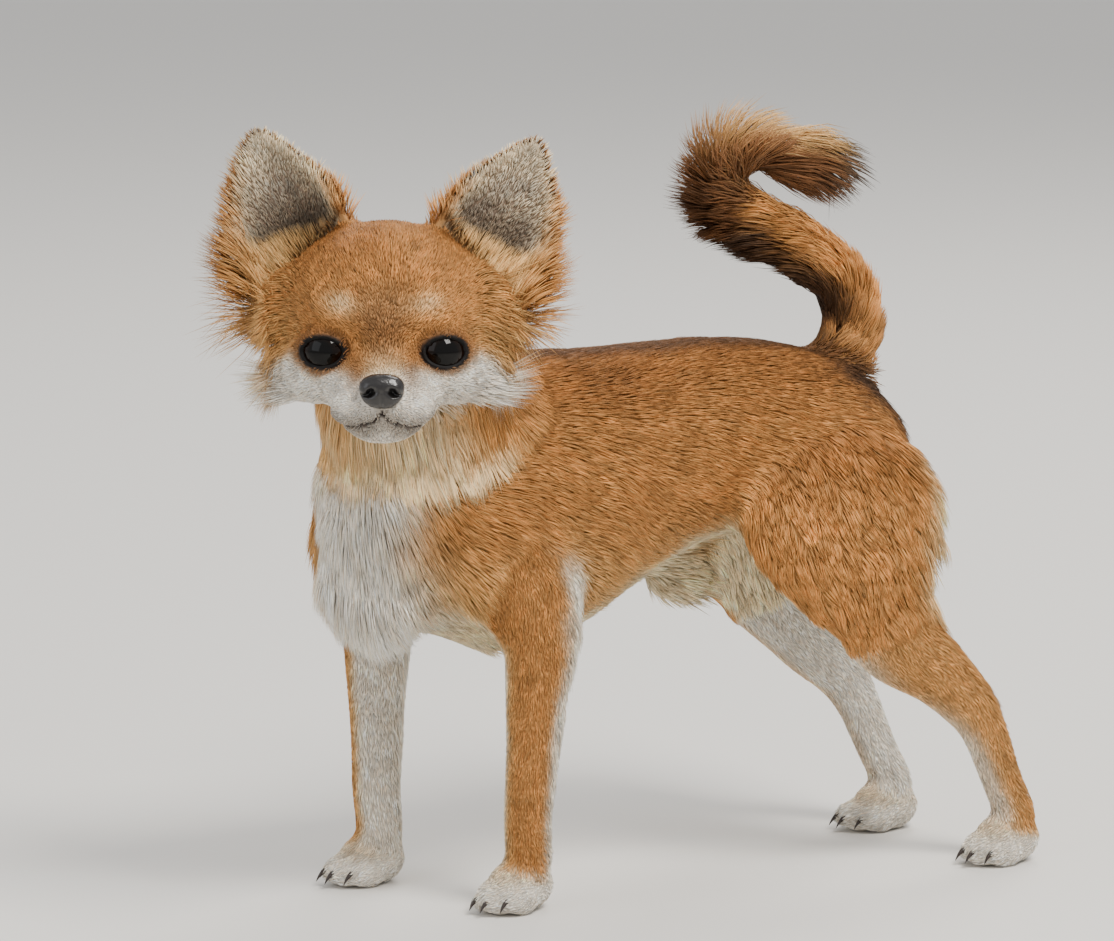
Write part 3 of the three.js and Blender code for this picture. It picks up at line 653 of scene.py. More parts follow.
def nearest(tree, points):
    """The index of the tree's nearest point, for each point."""
    return np.array([tree.find(v)[1] for v in points.tolist()])


# Fields over the skin: the lie, length, lift and colours of the coat at each point


class Fields:
    """What the coat needs at each point of the skin: its part, place on the part, and way of the hair."""

    def __init__(self, surface):
        self.surface = surface
        samples = part_samples()
        found = samples[nearest(tree_of(samples[:, :3]), surface.p)]
        self.part = found[:, 3].astype(int)
        self.s, self.a = found[:, 4], found[:, 5]
        self.way = found[:, 6:9]
        self.ears, self.head = self.on("ear_l", "ear_r"), self.on("head")
        self.neck, self.tail, self.paws = self.on("neck"), self.on("tail"), self.on("paw")
        self.fores, self.thighs = self.on("fore_l", "fore_r"), self.on("thigh_l", "thigh_r")
        self.shanks = self.on("shank_l", "shank_r")
        left = self.on("fore_l", "thigh_l", "shank_l", "ear_l")
        right = self.on("fore_r", "thigh_r", "shank_r", "ear_r")
        self.side = left.astype(float) - right
        self.ear_across = (self.a - np.where(self.a < 0.5, 0.25, 0.75)) / EAR_CHART
        self.firm = np.where(self.ears, 0.15, 0.5)
        self.place()

    def on(self, *names):
        return np.isin(self.part, [PART[name] for name in names])

    def place(self):
        """Reads the skin's points again after they have moved."""
        self.p, self.n = self.surface.p, self.surface.normals()
        self.q, self.head_n = to_head(self.p), self.n @ HEAD_TURN
        self.outer = self.n[:, 0] * self.side
        self.back_facing = self.n[:, 1]
        hx, hy, hz = self.q.T
        self.eye_side = np.where(hx >= 0, 1.0, -1.0)
        e = np.where((hx >= 0)[:, None], in_eye(self.p, 1), in_eye(self.p, -1))
        self.eye_way = e
        self.from_eye = np.where(hy < -10, np.hypot(e[:, 0] / EYE_SLIT[0], e[:, 2] / EYE_SLIT[1]), 9)
        self.from_mouth = mouth_distance(self.q)
        self.ear_front = self.ears * step(0.0, 0.5, -self.head_n[:, 1])
        behind = step(-24, -6, hy)
        self.cheek = step(12, 26, np.abs(hx)) * step(10, -8, hz) * behind * self.head
        beside = step(-38, -28, hz) * step(16, 8, hz) * step(-13, -3, hy)
        self.temple = step(21, 29, np.abs(hx)) * beside * self.head
        self.crown = step(4, 22, hz) * self.head
        self.chest = step(-80, -104, self.p[:, 1]) * step(178, 168, self.p[:, 2])
        self.rear = step(80, 112, self.p[:, 1])

    def above(self, points, normal, clear):
        """The points, raised where they lie less than clear above the skin that faces the same way."""
        near = nearest(self.tree, points)
        out = self.n[near]
        height = np.sum((points - self.p[near]) * out, 1)
        same = (np.sum(normal * out, 1) > 0.25) & (height > -DEEPEST)
        return points + out * (np.clip(clear - height, 0, MOST_RISE) * same)[:, None]


def choose(base, *pairs):
    """The base values with each mask's own values put in."""
    chosen = np.array(base, float)
    for mask, value in pairs:
        value = np.broadcast_to(value, chosen.shape)
        chosen[mask] = value[mask]
    return chosen


def lie_of(f):
    """The way the hair lies, as a direction at each point."""
    down, back, out = np.array([0.0, 0, -1]), np.array([0.0, 1, 0]), np.array([1.0, 0, 0])
    flank = np.clip(1 - f.n[:, 2], 0, 1.3)
    body = back + np.outer(0.3 * flank + 1.2 * f.chest + 0.9 * f.rear, down)
    ruff = -f.way + down * 0.75 + np.outer(f.p[:, 0] * 0.006, out)
    feather = step(0.0, 0.8, f.back_facing)
    fore = f.way + np.outer(0.3 * feather, back + down * 0.3)
    thigh = 0.35 * f.way + back * 0.45 + down * 0.8 + np.outer(0.3 * feather, back)
    shank = f.way + np.outer(0.4 * feather, back)
    tail_way = f.way + f.n * 0.4
    face = unit(f.q - (0, -60, -27))
    sideways = np.sign(f.q[:, 0])[:, None] * out
    aside = (0.5 * f.cheek + 1.5 * f.temple)[:, None] * sideways
    face = unit(face + f.cheek[:, None] * (0, 0.4, -0.6) + aside)
    away = unit(f.eye_way * (1, 0, 1))
    face = face @ HEAD_TURN.T
    near_eye = step(2.1, 1.1, f.from_eye) * 1.5
    for side in (1, -1):
        mine = (f.eye_side == side) & f.head
        face[mine] += near_eye[mine, None] * (away[mine] @ eye_turn(side).T)
    lie = choose(body, (f.neck, ruff), (f.fores, fore), (f.thighs, thigh), (f.shanks, shank))
    lie = choose(lie, (f.tail, tail_way), (f.head, face), (f.ears | f.paws, f.way))
    return f.surface.spread(unit(lie), 20, np.where(f.ears | f.head, 0.12, 0.5))


def length_of(f):
    """The length of the hair in millimetres."""
    top, under = step(0.2, 0.9, f.n[:, 2]), step(-0.2, -0.9, f.n[:, 2])
    feather = step(0.1, 0.85, f.back_facing)
    x, y = f.p[:, 0], f.p[:, 1]
    sheath = bell(x / 9, (y - 36) / 15) * under
    trunk_hair = 12 - 2 * top - 4 * under + 5 * f.chest + 7 * f.rear + 9 * sheath
    neck_hair = 19 + 5 * step(0.3, -0.6, f.back_facing)
    hx, hy = f.q[:, 0], f.q[:, 1]
    muzzle_on = step(-24, -36, hy)
    face = 3.4 + 2.4 * f.crown - 1.4 * muzzle_on + 5 * step(8, 26, hy)
    face = face + 7 * f.cheek + 19 * f.temple + 6 * f.crown * step(8, 22, np.abs(hx)) * step(-12, 4, hy)
    face = face * (0.5 + 0.5 * step(1.1, 2.4, f.from_eye)) * (0.7 + 0.3 * step(1.5, 5, f.from_mouth))
    rim = step(0.55, 0.95, np.abs(f.ear_across))
    outward = step(0.2, 0.8, f.ear_across * f.side)
    inward = step(0.2, 0.8, -f.ear_across * f.side)
    low = step(0.95, 0.15, f.s)
    ear = 3.6 + rim * (9 * outward * (0.35 + 0.65 * low) + 7 * inward * low) + 7 * step(0.3, 0.0, f.s)
    ear = ear + 3 * (1 - f.ear_front) * low
    fore = 4.4 + 7 * feather * step(0.95, 0.35, f.s)
    thigh = 10 + 14 * step(0.15, 0.8, f.back_facing)
    shank = 4.6 + 9 * feather * step(0.8, 0.15, f.s)
    plume = 13 + 12 * step(0.1, 0.5, f.s) + 3 * step(0.6, 0.75, f.s)
    length = choose(trunk_hair, (f.neck, neck_hair), (f.head, face), (f.ears, ear), (f.fores, fore))
    length = choose(length, (f.thighs, thigh), (f.shanks, shank), (f.paws, 3.0), (f.tail, plume))
    return f.surface.spread(length, 9, f.firm * 0.8)


def lift_of(f):
    """The angle between hair and skin, in degrees."""
    trouser = step(0.15, 0.9, f.back_facing)
    rim = step(0.6, 0.95, np.abs(f.ear_across))
    plume = 26 + 12 * step(0.5, 0.7, f.s)
    face = 18 + 8 * f.cheek + 30 * f.temple
    lift = choose(np.full(len(f.p), 13.0), (f.neck, 23), (f.paws | f.fores | f.shanks, 16))
    lift = choose(lift, (f.thighs, 11 + 16 * trouser), (f.tail, plume))
    lift = choose(lift, (f.head, face), (f.ears, 13 + 8 * rim))
    return f.surface.spread(lift, 8)


def depth_of(f):
    """How deep the skin lies under the surface of the solids."""
    face = 0.8 + 1.1 * f.crown + 1.4 * f.cheek
    depth = choose(np.full(len(f.p), 3.2), (f.neck, 3.4), (f.thighs, 3.0), (f.tail, 2.0), (f.paws, 0.6))
    depth = choose(depth, (f.fores | f.shanks, 1.4), (f.head, face), (f.ears, 0))
    return f.surface.spread(depth, 12)


def trunk_colour(f, patch, fine):
    x, y, z = f.p.T
    spine = step(17, 4, np.abs(x + 2 * patch)) * step(172, 188, z)
    tail_root = step(66, 92, y + 6 * patch) * step(146, 164, z + 8 * patch) * step(31, 16, np.abs(x))
    bib = step(-74, -98, y + 6 * patch) * step(31, 15, np.abs(x - 3 - 4 * patch)) * step(176, 152, z)
    sheath = step(13, 8, np.abs(x)) * step(119, 113, z) * step(0, 8, y) * step(54, 44, y)
    return layered(
        RED_TAN,
        (TAN, step(188, 160, z + 6 * patch)),
        (SABLE, 0.6 * spine + 0.15 * step(0, 0.6, patch) * step(165, 185, z)),
        (GOLD, 0.65 * step(146, 116, z + 6 * patch)),
        (CREAM, step(-0.45, -0.85, f.n[:, 2] + 0.15 * fine)),
        (SABLE, 0.88 * tail_root),
        (WHITE, bib),
        (CREAM, sheath),
    )


def neck_colour(f, patch, fine):
    gold = 0.6 * step(0.2, -0.8, f.back_facing) + 0.4 * step(195, 160, f.p[:, 2])
    nape = step(0, 0.8, f.back_facing) * step(0, 0.6, f.n[:, 2])
    throat = f.head_n @ unit((0, -1, -0.8)) + 0.35 * patch + 0.2 * fine
    return layered(TAN, (GOLD, gold), (RED_TAN, 0.7 * nape), (CREAM, 0.75 * step(0.2, 0.9, throat)))


def head_colour(f, patch, fine):
    hx, hy, hz = f.q.T
    ax = np.abs(hx)
    # The stop between the eyes is darker brown: partly a sable mark, partly painted shade cast by the dome of
    # the forehead.
    stop_sable_and_shade = step(13, 4, ax - 0.25 * hz) * step(-40, -30, hy) * step(14, -4, hz)
    cheeks = step(-17, -23, hz + 2 * fine - 4 * step(20, 32, ax)) * step(16, -4, hy)
    muzzle_side = step(-25, -31, hy + 2 * fine) * step(6, 10, ax + 0.3 * (-22 - hz)) * step(-17, -23, hz)
    # The top of the muzzle's bridge is painted a lighter cream: a painted highlight where the light falls on
    # it.
    bridge_highlight = step(9, 4, ax) * step(-26, -40, hy) * step(-53, -48, hy) * step(-24, -19, hz)
    brow = bell((ax - 13 - 0.3 * hz) / 5.5, (hz - 1) / 3.2) * step(-8, -18, hy)
    inner_eye = bell((ax - 9) / 3, (hz + 20) / 4.5) * step(-18, -26, hy)
    return layered(
        TAN,
        (RED_TAN, 0.25 + 0.45 * step(-0.3, 0.7, patch + 0.4 * fine) * f.crown),
        # darker brown at the stop: a sable mark with painted shade
        (BROWN, 0.6 * stop_sable_and_shade),
        (WHITE, np.maximum(cheeks, muzzle_side)),
        # painted highlight on the bridge of the muzzle
        (CREAM, 0.6 * bridge_highlight),
        (CREAM, np.clip(brow + 0.3 * fine * brow, 0, 1) * 0.6),
        (GREY, 0.75 * step(7, 1.5, f.from_mouth) * step(-24, -36, hy)),
        (BROWN, 0.75 * step(1.75, 1.15, f.from_eye)),
        (BROWN, 0.6 * inner_eye),
        (GOLD, 0.6 * np.maximum(f.cheek, f.temple) * (1 - cheeks)),
    )


def ear_colour(f, patch, fine):
    rim = step(0.45, 0.95, np.abs(f.ear_across))
    outward = f.ear_across * f.side
    fringe = step(0.72, 1.0, outward) * step(0.95, 0.5, f.s) + step(0.75, 1.0, -outward) * step(0.6, 0.3, f.s)
    inside = layered(
        GREY,
        (CREAM, np.clip(0.35 + 0.4 * rim + 0.25 * fine + 0.3 * step(0.4, 0.9, f.s), 0, 1)),
        (SHADOW, 0.75 * (step(0.6, 0.2, f.s) * (1 - rim))),
        (GOLD, 0.85 * step(0.24, 0.06, f.s)),
        (TAN, 0.9 * np.clip(fringe, 0, 1)),
    )
    return layered(TAN, (BROWN, 0.3 + 0.35 * step(0.3, 1, f.s) + 0.2 * patch), (inside, f.ear_front))


def limb_colours(f, patch, fine):
    z = f.p[:, 2]
    coat = mix(GOLD, TAN, step(-0.3, 0.5, f.outer))
    inside = step(0.1, -0.5, f.outer + 0.1 * fine)
    pale = np.maximum(inside, step(0.1, 0.55, f.back_facing + 0.15 * fine))
    fore = mix(coat, WHITE, np.maximum(pale * 0.95, step(0.86, 0.99, f.s)))
    trouser = step(0.3, 0.85, f.back_facing + 0.15 * patch)
    inner = step(0.1, -0.6, f.outer)
    upper = mix(RED_TAN, TAN, step(165, 130, z + 6 * patch))
    thigh = mix(mix(upper, GOLD, 0.6 * trouser), CREAM, np.maximum(0.75 * trouser, inner))
    front = step(-0.2, -0.85, f.back_facing)
    shank = mix(mix(TAN, GOLD, 0.3), WHITE, np.maximum(step(0.1, -0.5, f.outer), 0.8 * front))
    shank = mix(shank, CREAM, 0.75 * step(0.85, 0.99, f.s))
    return fore, thigh, shank, mix(WHITE, GOLD, 0.4 * step(8, 15, z))


def tail_colour(f, patch, fine):
    above = step(-0.2, 0.75, f.n[:, 2] + 0.3 * patch)
    colour = mix(BROWN, GOLD, above * step(0.5, 0.66, f.s))
    lower = mix(TAN, SABLE, 0.9 * step(0.5, -0.5, f.n @ unit((0.3, 0.5, 0.7)) + 0.5 * patch))
    colour = mix(colour, lower, step(0.6, 0.45, f.s + 0.1 * fine))
    return mix(colour, (0.26, 0.23, 0.2), 0.8 * step(0.86, 0.98, f.s))


def colour_of(f):
    """The markings, the same for skin and hair, in sRGB. They also hold painted light: shade at the stop
    (partly a real sable mark) and in the cups of the ears, and a highlight on the bridge of the muzzle.
    """
    patch, fine = value_noise(f.p, 26, 3), value_noise(f.p, 7, 5)
    fore, thigh, shank, paw = limb_colours(f, patch, fine)
    colour = choose(
        trunk_colour(f, patch, fine),
        (f.neck, neck_colour(f, patch, fine)),
        (f.head, head_colour(f, patch, fine)),
        (f.ears, ear_colour(f, patch, fine)),
        (f.fores, fore),
        (f.thighs, thigh),
        (f.shanks, shank),
        (f.paws, paw),
        (f.tail, tail_colour(f, patch, fine)),
    )
    return f.surface.spread(colour, 6, f.firm)


def shape_skin(surface):
    """Smooths the joins, sinks the skin under the coat, opens the eyes and cuts the mouth."""
    f = Fields(surface)
    share = surface.spread(np.where(f.ears | f.paws, 0.12, np.where(f.head, 0.3, 0.5)), 6)
    surface.p = surface.spread(surface.p, 8, share)
    body = surface.spread((~(f.ears | f.paws | f.head)).astype(float), 10)
    for _ in range(FILL_ROUNDS):
        normal = surface.normals()
        settled = surface.spread(surface.p, FILL_PASSES, 0.5 * body)
        rise = np.sum((settled - surface.p) * normal, 1)
        rise = surface.spread(np.clip(rise, 0, MOST_FILL), 6)
        surface.p = surface.p + normal * (rise * body)[:, None]
    surface.p = surface.spread(surface.p, 6, share)
    f.place()
    p = surface.p - f.n * depth_of(f)[:, None]
    q = to_head(p)
    groove = bell(mouth_distance(q) / MOUTH_WIDTH) * step(-25, -32, q[:, 1])
    p = p - f.n * (MOUTH_DEPTH * groove)[:, None]
    for side in (1, -1):
        p = open_eye(p, side)
    p[:, 2] = np.maximum(p[:, 2], FLOOR_GAP)
    surface.p = p
    f.place()
    f.tree = tree_of(f.p)
    f.lip = groove
    f.lie, f.length, f.lift, f.colour = lie_of(f), length_of(f), lift_of(f), colour_of(f)
    return f


def open_eye(p, side):
    """Draws the skin back from the slit of an eye, so that its edge lies on the globe as a lid."""
    e = in_eye(p, side)
    r = np.hypot(e[:, 0] / EYE_SLIT[0], e[:, 2] / EYE_SLIT[1])
    near = (e[:, 1] < 2) & (r < LID_REACH)
    hole = r < LID_START
    drawn = 1 + (r - LID_START) * (LID_REACH - 1) / (LID_REACH - LID_START)
    new_r = np.where(hole, r / LID_START, drawn)
    e[:, [0, 2]] *= (new_r / np.maximum(r, 1e-3))[:, None]
    flat = np.hypot(e[:, 0], e[:, 2])
    globe = -np.sqrt(np.maximum(EYE_RADIUS**2 - flat**2, 4))
    lid = -np.sqrt(np.maximum((EYE_RADIUS + 0.9) ** 2 - flat**2, 0))
    hug = step(1.55, 1.05, new_r)
    covered = np.where(flat < EYE_RADIUS + 0.6, np.minimum(e[:, 1], lid), e[:, 1])
    behind = np.maximum(e[:, 1], globe + 2 + 3 * (1 - new_r))
    e[:, 1] = np.where(hole, behind, covered * (1 - hug) + lid * hug)
    return np.where(near[:, None], from_eye(e, side), p)


MOUTH = [
    (0, -54.5, -32),
    (3, -54, -35.5),
    (8.5, -51, -37.5),
    (14, -44, -37),
    (17.2, -35, -34.5),
    (19, -28, -32),
]


def mouth_distance(q):
    """How far each point, in the head's frame, is from the line of the mouth."""
    line = np.array(MOUTH, float)
    ax = np.abs(q[:, 0])
    height, depth = (np.interp(ax, line[:, 0], line[:, k]) for k in (2, 1))
    behind = np.maximum(q[:, 1] - depth - 6, 0)
    return np.hypot(q[:, 2] - height, np.maximum(ax - line[-1, 0], 0)) + 0.5 * behind


# Coat

# Where each part lies on the unwrap of its coat piece: left, bottom, width and height
CHARTS = {
    "trunk": (0.0, 0.0, 1.0, 0.62),
    "neck": (0.0, 0.64, 1.0, 0.34),
    "head": (0.0, 0.0, 1.0, 0.6),
    "paw": (0.0, 0.64, 1.0, 0.34),
    "thigh_l": (0.0, 0.0, 1.0, 0.48),
    "thigh_r": (0.0, 0.5, 1.0, 0.48),
    "tail": (0.0, 0.0, 1.0, 1.0),
}
for left, end in ((0.0, "_l"), (0.5, "_r")):
    for part, bottom, height in (("ear", 0.62, 0.36), ("fore", 0.0, 0.3), ("shank", 0.32, 0.3)):
        CHARTS[part + end] = (left, bottom, 0.48, height)
PATCH = 0.003  # the width of a tuft there

# name, parts, tufts per square millimetre, width, rings between the two ends, clump size, clump pull
COATS = [
    ("coat_head", ("head",), 3.5, 0.34, 1, 2.4, 0.18),
    ("coat_ears", ("ear_l", "ear_r"), 2.0, 0.36, 1, 2.5, 0.3),
    ("coat_neck", ("neck",), 1.9, 0.46, 2, 5.0, 0.45),
    ("coat_trunk", ("trunk",), 1.1, 0.44, 1, 4.0, 0.2),
    ("coat_legs", ("fore_l", "fore_r", "shank_l", "shank_r"), 1.35, 0.4, 1, 2.5, 0.2),
    ("coat_paws", ("paw",), 2.0, 0.36, 1, 2.0, 0.1),
    ("coat_thighs", ("thigh_l", "thigh_r"), 0.95, 0.5, 2, 4.5, 0.42),
    ("coat_tail", ("tail",), 2.2, 0.5, 2, 5.0, 0.45),
]
MOST_TRIANGLES = 190000
ROOT_SHARE, SHORTEST_ROOT, LONGEST_ROOT = 0.07, 0.1, 0.6  # the part of the length that is sunk in
DEEPEST, MOST_RISE = 4, 2.5  # hair less than DEEPEST under the skin is raised, by MOST_RISE at most
LOWEST_HAIR = 0.3


def roots_on(f, mask, per_mm2):
    """Random roots, even over the area, on the quads whose first corner is in the mask."""
    quads = f.surface.quads
    keep = quads[mask[quads[:, 0]]]
    a, b, c, d = (f.p[keep[:, i]] for i in range(4))
    area = np.linalg.norm(np.cross(c - a, d - b), axis=1) / 2
    total = np.cumsum(area)
    count = int(total[-1] * per_mm2)
    spot = (np.arange(count) + dice.random(count)) / count * total[-1]
    face = np.minimum(np.searchsorted(total, spot), len(keep) - 1)
    u, v = dice.random(count), dice.random(count)
    share = np.stack([(1 - u) * (1 - v), u * (1 - v), u * v, (1 - u) * v], 1)
    return keep[face], share


def at_roots(value, corners, share):
    return np.einsum("ij,ij...->i...", share, value[corners])


def bare_skin(f):
    """Where no hair grows: the eyes, the nose leather, the lips' edge and the soles."""
    nose_way = (f.q - NOSE_AT) / (NOSE_HALF[0] + 0.6, NOSE_HALF[1] + 1, NOSE_HALF[2] + 0.5)
    on_nose = np.linalg.norm(nose_way, axis=1) < 1
    sole = (f.p[:, 2] < 1.2) & (f.n[:, 2] < -0.5)
    return (f.from_eye < 1.14) | sole | on_nose | (f.lip > 0.42)


def tuft_paths(levels, root, normal, way, length, lift):
    """The path of each tuft: it leaves the skin at its lift, then lies over and hangs a little."""
    path = np.empty((len(levels), len(root), 3))
    sunk = np.clip(ROOT_SHARE * length, SHORTEST_ROOT, LONGEST_ROOT)
    path[0] = root - normal * sunk[:, None]
    hang = np.clip(length - 7, 0, 16) / 16 * 0.5
    for k in range(1, len(levels)):
        angle = lift * (1.2 - 1.0 * (levels[k] + levels[k - 1]) / 2) * DEG
        go = way * np.cos(angle)[:, None] + normal * np.sin(angle)[:, None]
        go[:, 2] -= hang * levels[k]
        path[k] = path[k - 1] + unit(go) * (length * (levels[k] - levels[k - 1]))[:, None]
    return path


def tuft_verts(path, normal, wide):
    """Both ends are points, and each ring between has a left, a right and a top point."""
    verts = [path[0]]
    for k in range(1, len(path) - 1):
        go = unit(path[k + 1] - path[k - 1])
        across = unit(np.cross(go, normal) + 1e-6)
        out = unit(np.cross(across, go))
        half = (wide * (1 - 0.15 * (k - 1)) / 2)[:, None]
        verts += [path[k] - across * half, path[k] + across * half, path[k] + out * half * 0.9]
    verts.append(path[-1])
    return np.stack(verts, 1)


def tuft_faces(rings):
    """The triangles of one tuft."""
    tip = 1 + 3 * rings
    faces = []
    for i, j in ((0, 1), (1, 2), (2, 0)):
        faces.append((0, 1 + i, 1 + j))
        for o in range(1, tip - 3, 3):
            faces += [(o + i, o + 3 + i, o + 3 + j), (o + i, o + 3 + j, o + j)]
        faces.append((tip - 3 + i, tip, tip - 3 + j))
    return np.array(faces)


def tuft_coat(f, name, parts, density, width, rings, clump, pull):
    """All the tufts of a region, in one piece or in several of less than MOST_TRIANGLES."""
    corners, share = roots_on(f, f.on(*parts) & ~bare_skin(f), density)
    fields = f.p, f.n, f.lie, f.length, f.lift, f.colour
    root, normal, lie, length, lift, colour = (at_roots(field, corners, share) for field in fields)
    normal = unit(normal)
    lie = unit(lie - normal * np.sum(lie * normal, 1, keepdims=True))
    count = len(root)
    swirl = value_noise(root, 18, 11) * 12 + value_noise(root, 7, 12) * 7
    swirl = swirl + dice.normal(0, 6, count)
    side = unit(np.cross(normal, lie))
    way = lie * np.cos(swirl * DEG)[:, None] + side * np.sin(swirl * DEG)[:, None]
    lift = np.clip(lift + value_noise(root, 9, 13) * 4 + dice.normal(0, 3, count), 3, 70)
    length = length * (0.78 + 0.3 * dice.random(count)) * (1 + 0.22 * value_noise(root, 8, 14))
    wide = width * (0.75 + 0.5 * dice.random(count))
    levels = np.linspace(0, 1, rings + 2) ** 0.85
    path = tuft_paths(levels, root, normal, way, length, lift)

    # Tips gather round the nearest clump's own path, and stay above the skin
    centres = np.flatnonzero(dice.random(count) < 1 / (density * clump**2 * 1.2))
    own = centres[nearest(tree_of(root[centres]), root)]
    facing = np.sum(normal * normal[own], 1) > 0.5
    away = np.linalg.norm(path[-1][own] - path[-1], axis=1)
    strength = pull * facing * step(3.2 * clump, 1.2 * clump, away)
    for k in range(1, rings + 2):
        path[k] += (path[k][own] - path[k]) * (strength * levels[k] ** 1.5)[:, None]
        clear = 0.15 + np.minimum(0.13 * length * levels[k], 1.7)
        path[k] = f.above(path[k], normal, clear)
    path[:, :, 2] = np.maximum(path[:, :, 2], LOWEST_HAIR)
    verts, tris = tuft_verts(path, normal, wide), tuft_faces(rings)

    # Colour from root to tip, with its own tone for each tuft and each clump
    tone = 1 + 0.06 * dice.normal(0, 1, count) + 0.06 * dice.normal(0, 1, count)[own]
    tone = np.clip(tone, 0.7, 1.3)
    warm = dice.normal(0, 0.02, count)
    shade = colour * tone[:, None] * np.stack([1 + warm, np.ones(count), 1 - warm], 1)
    point_level = np.concatenate([[0], np.repeat(levels[1:-1], 3), [1]])
    fade = 0.84 + 0.24 * point_level
    colours = np.clip(shade[:, None, :] * fade[None, :, None], 0, 1)

    # Places on the unwrap, a small patch for each tuft
    first = corners[:, 0]
    chart = np.array([CHARTS[PARTS[k]] for k in f.part[first]])
    place = chart[:, :2] + chart[:, 2:] * np.clip(np.stack([f.a[first], f.s[first]], 1), 0, 1)
    across = np.concatenate([[0], np.tile([-1.0, 1.0, 0.0], rings), [0]])
    local = np.stack([across, point_level * 2 - 1], 1) * (PATCH / 2)
    uv = np.clip(place, 0.002, 0.998)[:, None, :] + local[None]

    pieces = math.ceil(count / (MOST_TRIANGLES // len(tris)))
    made = []
    for i in range(pieces):
        part = slice(i * count // pieces, (i + 1) * count // pieces)
        number, per = verts[part].shape[:2]
        faces = (tris[None] + np.arange(number)[:, None, None] * per).reshape(-1, 3)
        piece_name = name if pieces == 1 else f"{name}_{i + 1}"
        piece = new_object(piece_name, verts[part].reshape(-1, 3), faces)
        paint(piece, colours[part].reshape(-1, 3))
        layer = piece.data.uv_layers.new(name="OFBake")
        spots = uv[part].reshape(-1, 2)[faces.ravel()]
        layer.data.foreach_set("uv", spots.astype(np.float32).ravel())
        made.append(piece)
    return made


def paint(obj, colours):
    """One colour, or one for each vertex, given in sRGB."""
    layer = obj.data.color_attributes.new("Coat", "FLOAT_COLOR", "POINT")
    rgba = np.ones((len(obj.data.vertices), 4), np.float32)
    rgba[:, :3] = linear(colours)
    layer.data.foreach_set("color", rgba.ravel())


# Materials

def material(name, roughness, specular, grain, colour_noise, bump=0.0, coat=0.0):
    """A painted surface: the vertex colours, varied by noise, with an optional fine bump."""
    made = bpy.data.materials.new(name)
    made.use_nodes = True
    nodes, links = made.node_tree.nodes, made.node_tree.links
    shader = nodes["Principled BSDF"]

    def setting(node, socket, value):
        node.inputs[socket].default_value = value

    setting(shader, "Roughness", roughness)
    setting(shader, "Specular IOR Level", specular)
    setting(shader, "Coat Weight", coat)
    setting(shader, "Coat Roughness", 0.04)
    paint_node = nodes.new("ShaderNodeVertexColor")
    paint_node.layer_name = "Coat"
    where = nodes.new("ShaderNodeTexCoord")
    noise = nodes.new("ShaderNodeTexNoise")
    setting(noise, "Scale", grain)
    setting(noise, "Detail", 3)
    tone = nodes.new("ShaderNodeMapRange")
    setting(tone, "To Min", 1 - colour_noise)
    setting(tone, "To Max", 1 + colour_noise)
    scale = nodes.new("ShaderNodeVectorMath")
    scale.operation = "SCALE"
    links.new(where.outputs["Object"], noise.inputs["Vector"])
    links.new(noise.outputs["Fac"], tone.inputs["Value"])
    links.new(paint_node.outputs["Color"], scale.inputs[0])
    links.new(tone.outputs["Result"], scale.inputs["Scale"])
    links.new(scale.outputs["Vector"], shader.inputs["Base Color"])
    if bump:
        ridge = nodes.new("ShaderNodeBump")
        setting(ridge, "Distance", bump)
        setting(ridge, "Strength", 0.6)
        links.new(noise.outputs["Fac"], ridge.inputs["Height"])
        links.new(ridge.outputs["Normal"], shader.inputs["Normal"])
    return made


# Eyes, nose and claws

def eye_piece(side, name):
    """The globe and its front bulge, with iris and pupil painted by their distance from the axis."""
    lat, lon = 48, 64
    a = np.repeat(np.linspace(0.0, math.pi, lat), lon)
    b = np.tile(np.linspace(0, 2 * math.pi, lon, endpoint=False), lat)
    r = EYE_RADIUS - GLOBE_INSET + BULGE * bell(a / BULGE_SPREAD)
    p = np.stack([np.sin(a) * np.cos(b), -np.cos(a), np.sin(a) * np.sin(b)], 1) * r[:, None]
    obj = new_object(name, from_eye(p, side), ring_faces(lat, lon))
    streak = 0.12 * np.sin(b * 23 + 2 * np.sin(b * 7))
    iris = mix((0.055, 0.028, 0.016), (0.09, 0.045, 0.022), step(0.5, 0.8, a + streak))
    colour = mix(BLACK, iris, step(PUPIL - 0.04, PUPIL + 0.04, a))
    colour = mix(colour, (0.02, 0.014, 0.012), step(IRIS - 0.05, IRIS + 0.05, a))
    paint(obj, colour)
    weld = obj.modifiers.new("weld", "WELD")
    weld.merge_threshold = 0.00001
    return obj


def rim_piece(side, name):
    """The dark edge of the lids, one closed ring that rests on the globe."""
    count, sides = 56, 10
    a = np.linspace(0, 2 * math.pi, count, endpoint=False)
    x = EYE_SLIT[0] * np.cos(a)
    z = EYE_SLIT[1] * np.sign(np.sin(a)) * np.abs(np.sin(a)) ** 1.08
    y = -np.sqrt(EYE_RADIUS**2 - x**2 - z**2)
    centre = np.stack([x, y, z], 1)
    out = unit(centre * (1, 0, 1))
    front = unit(centre)
    rings = []
    for k in range(sides):
        angle = 2 * math.pi * k / sides
        rings.append(centre + out * (0.6 * math.cos(angle)) + front * (0.5 * math.sin(angle) + 0.3))
    p = from_eye(np.stack(rings, 1).reshape(-1, 3), side)
    faces = [tuple(i % len(p) for i in face) for face in ring_faces(count + 1, sides)]
    obj = new_object(name, p, faces)
    paint(obj, (0.035, 0.026, 0.022))
    return obj


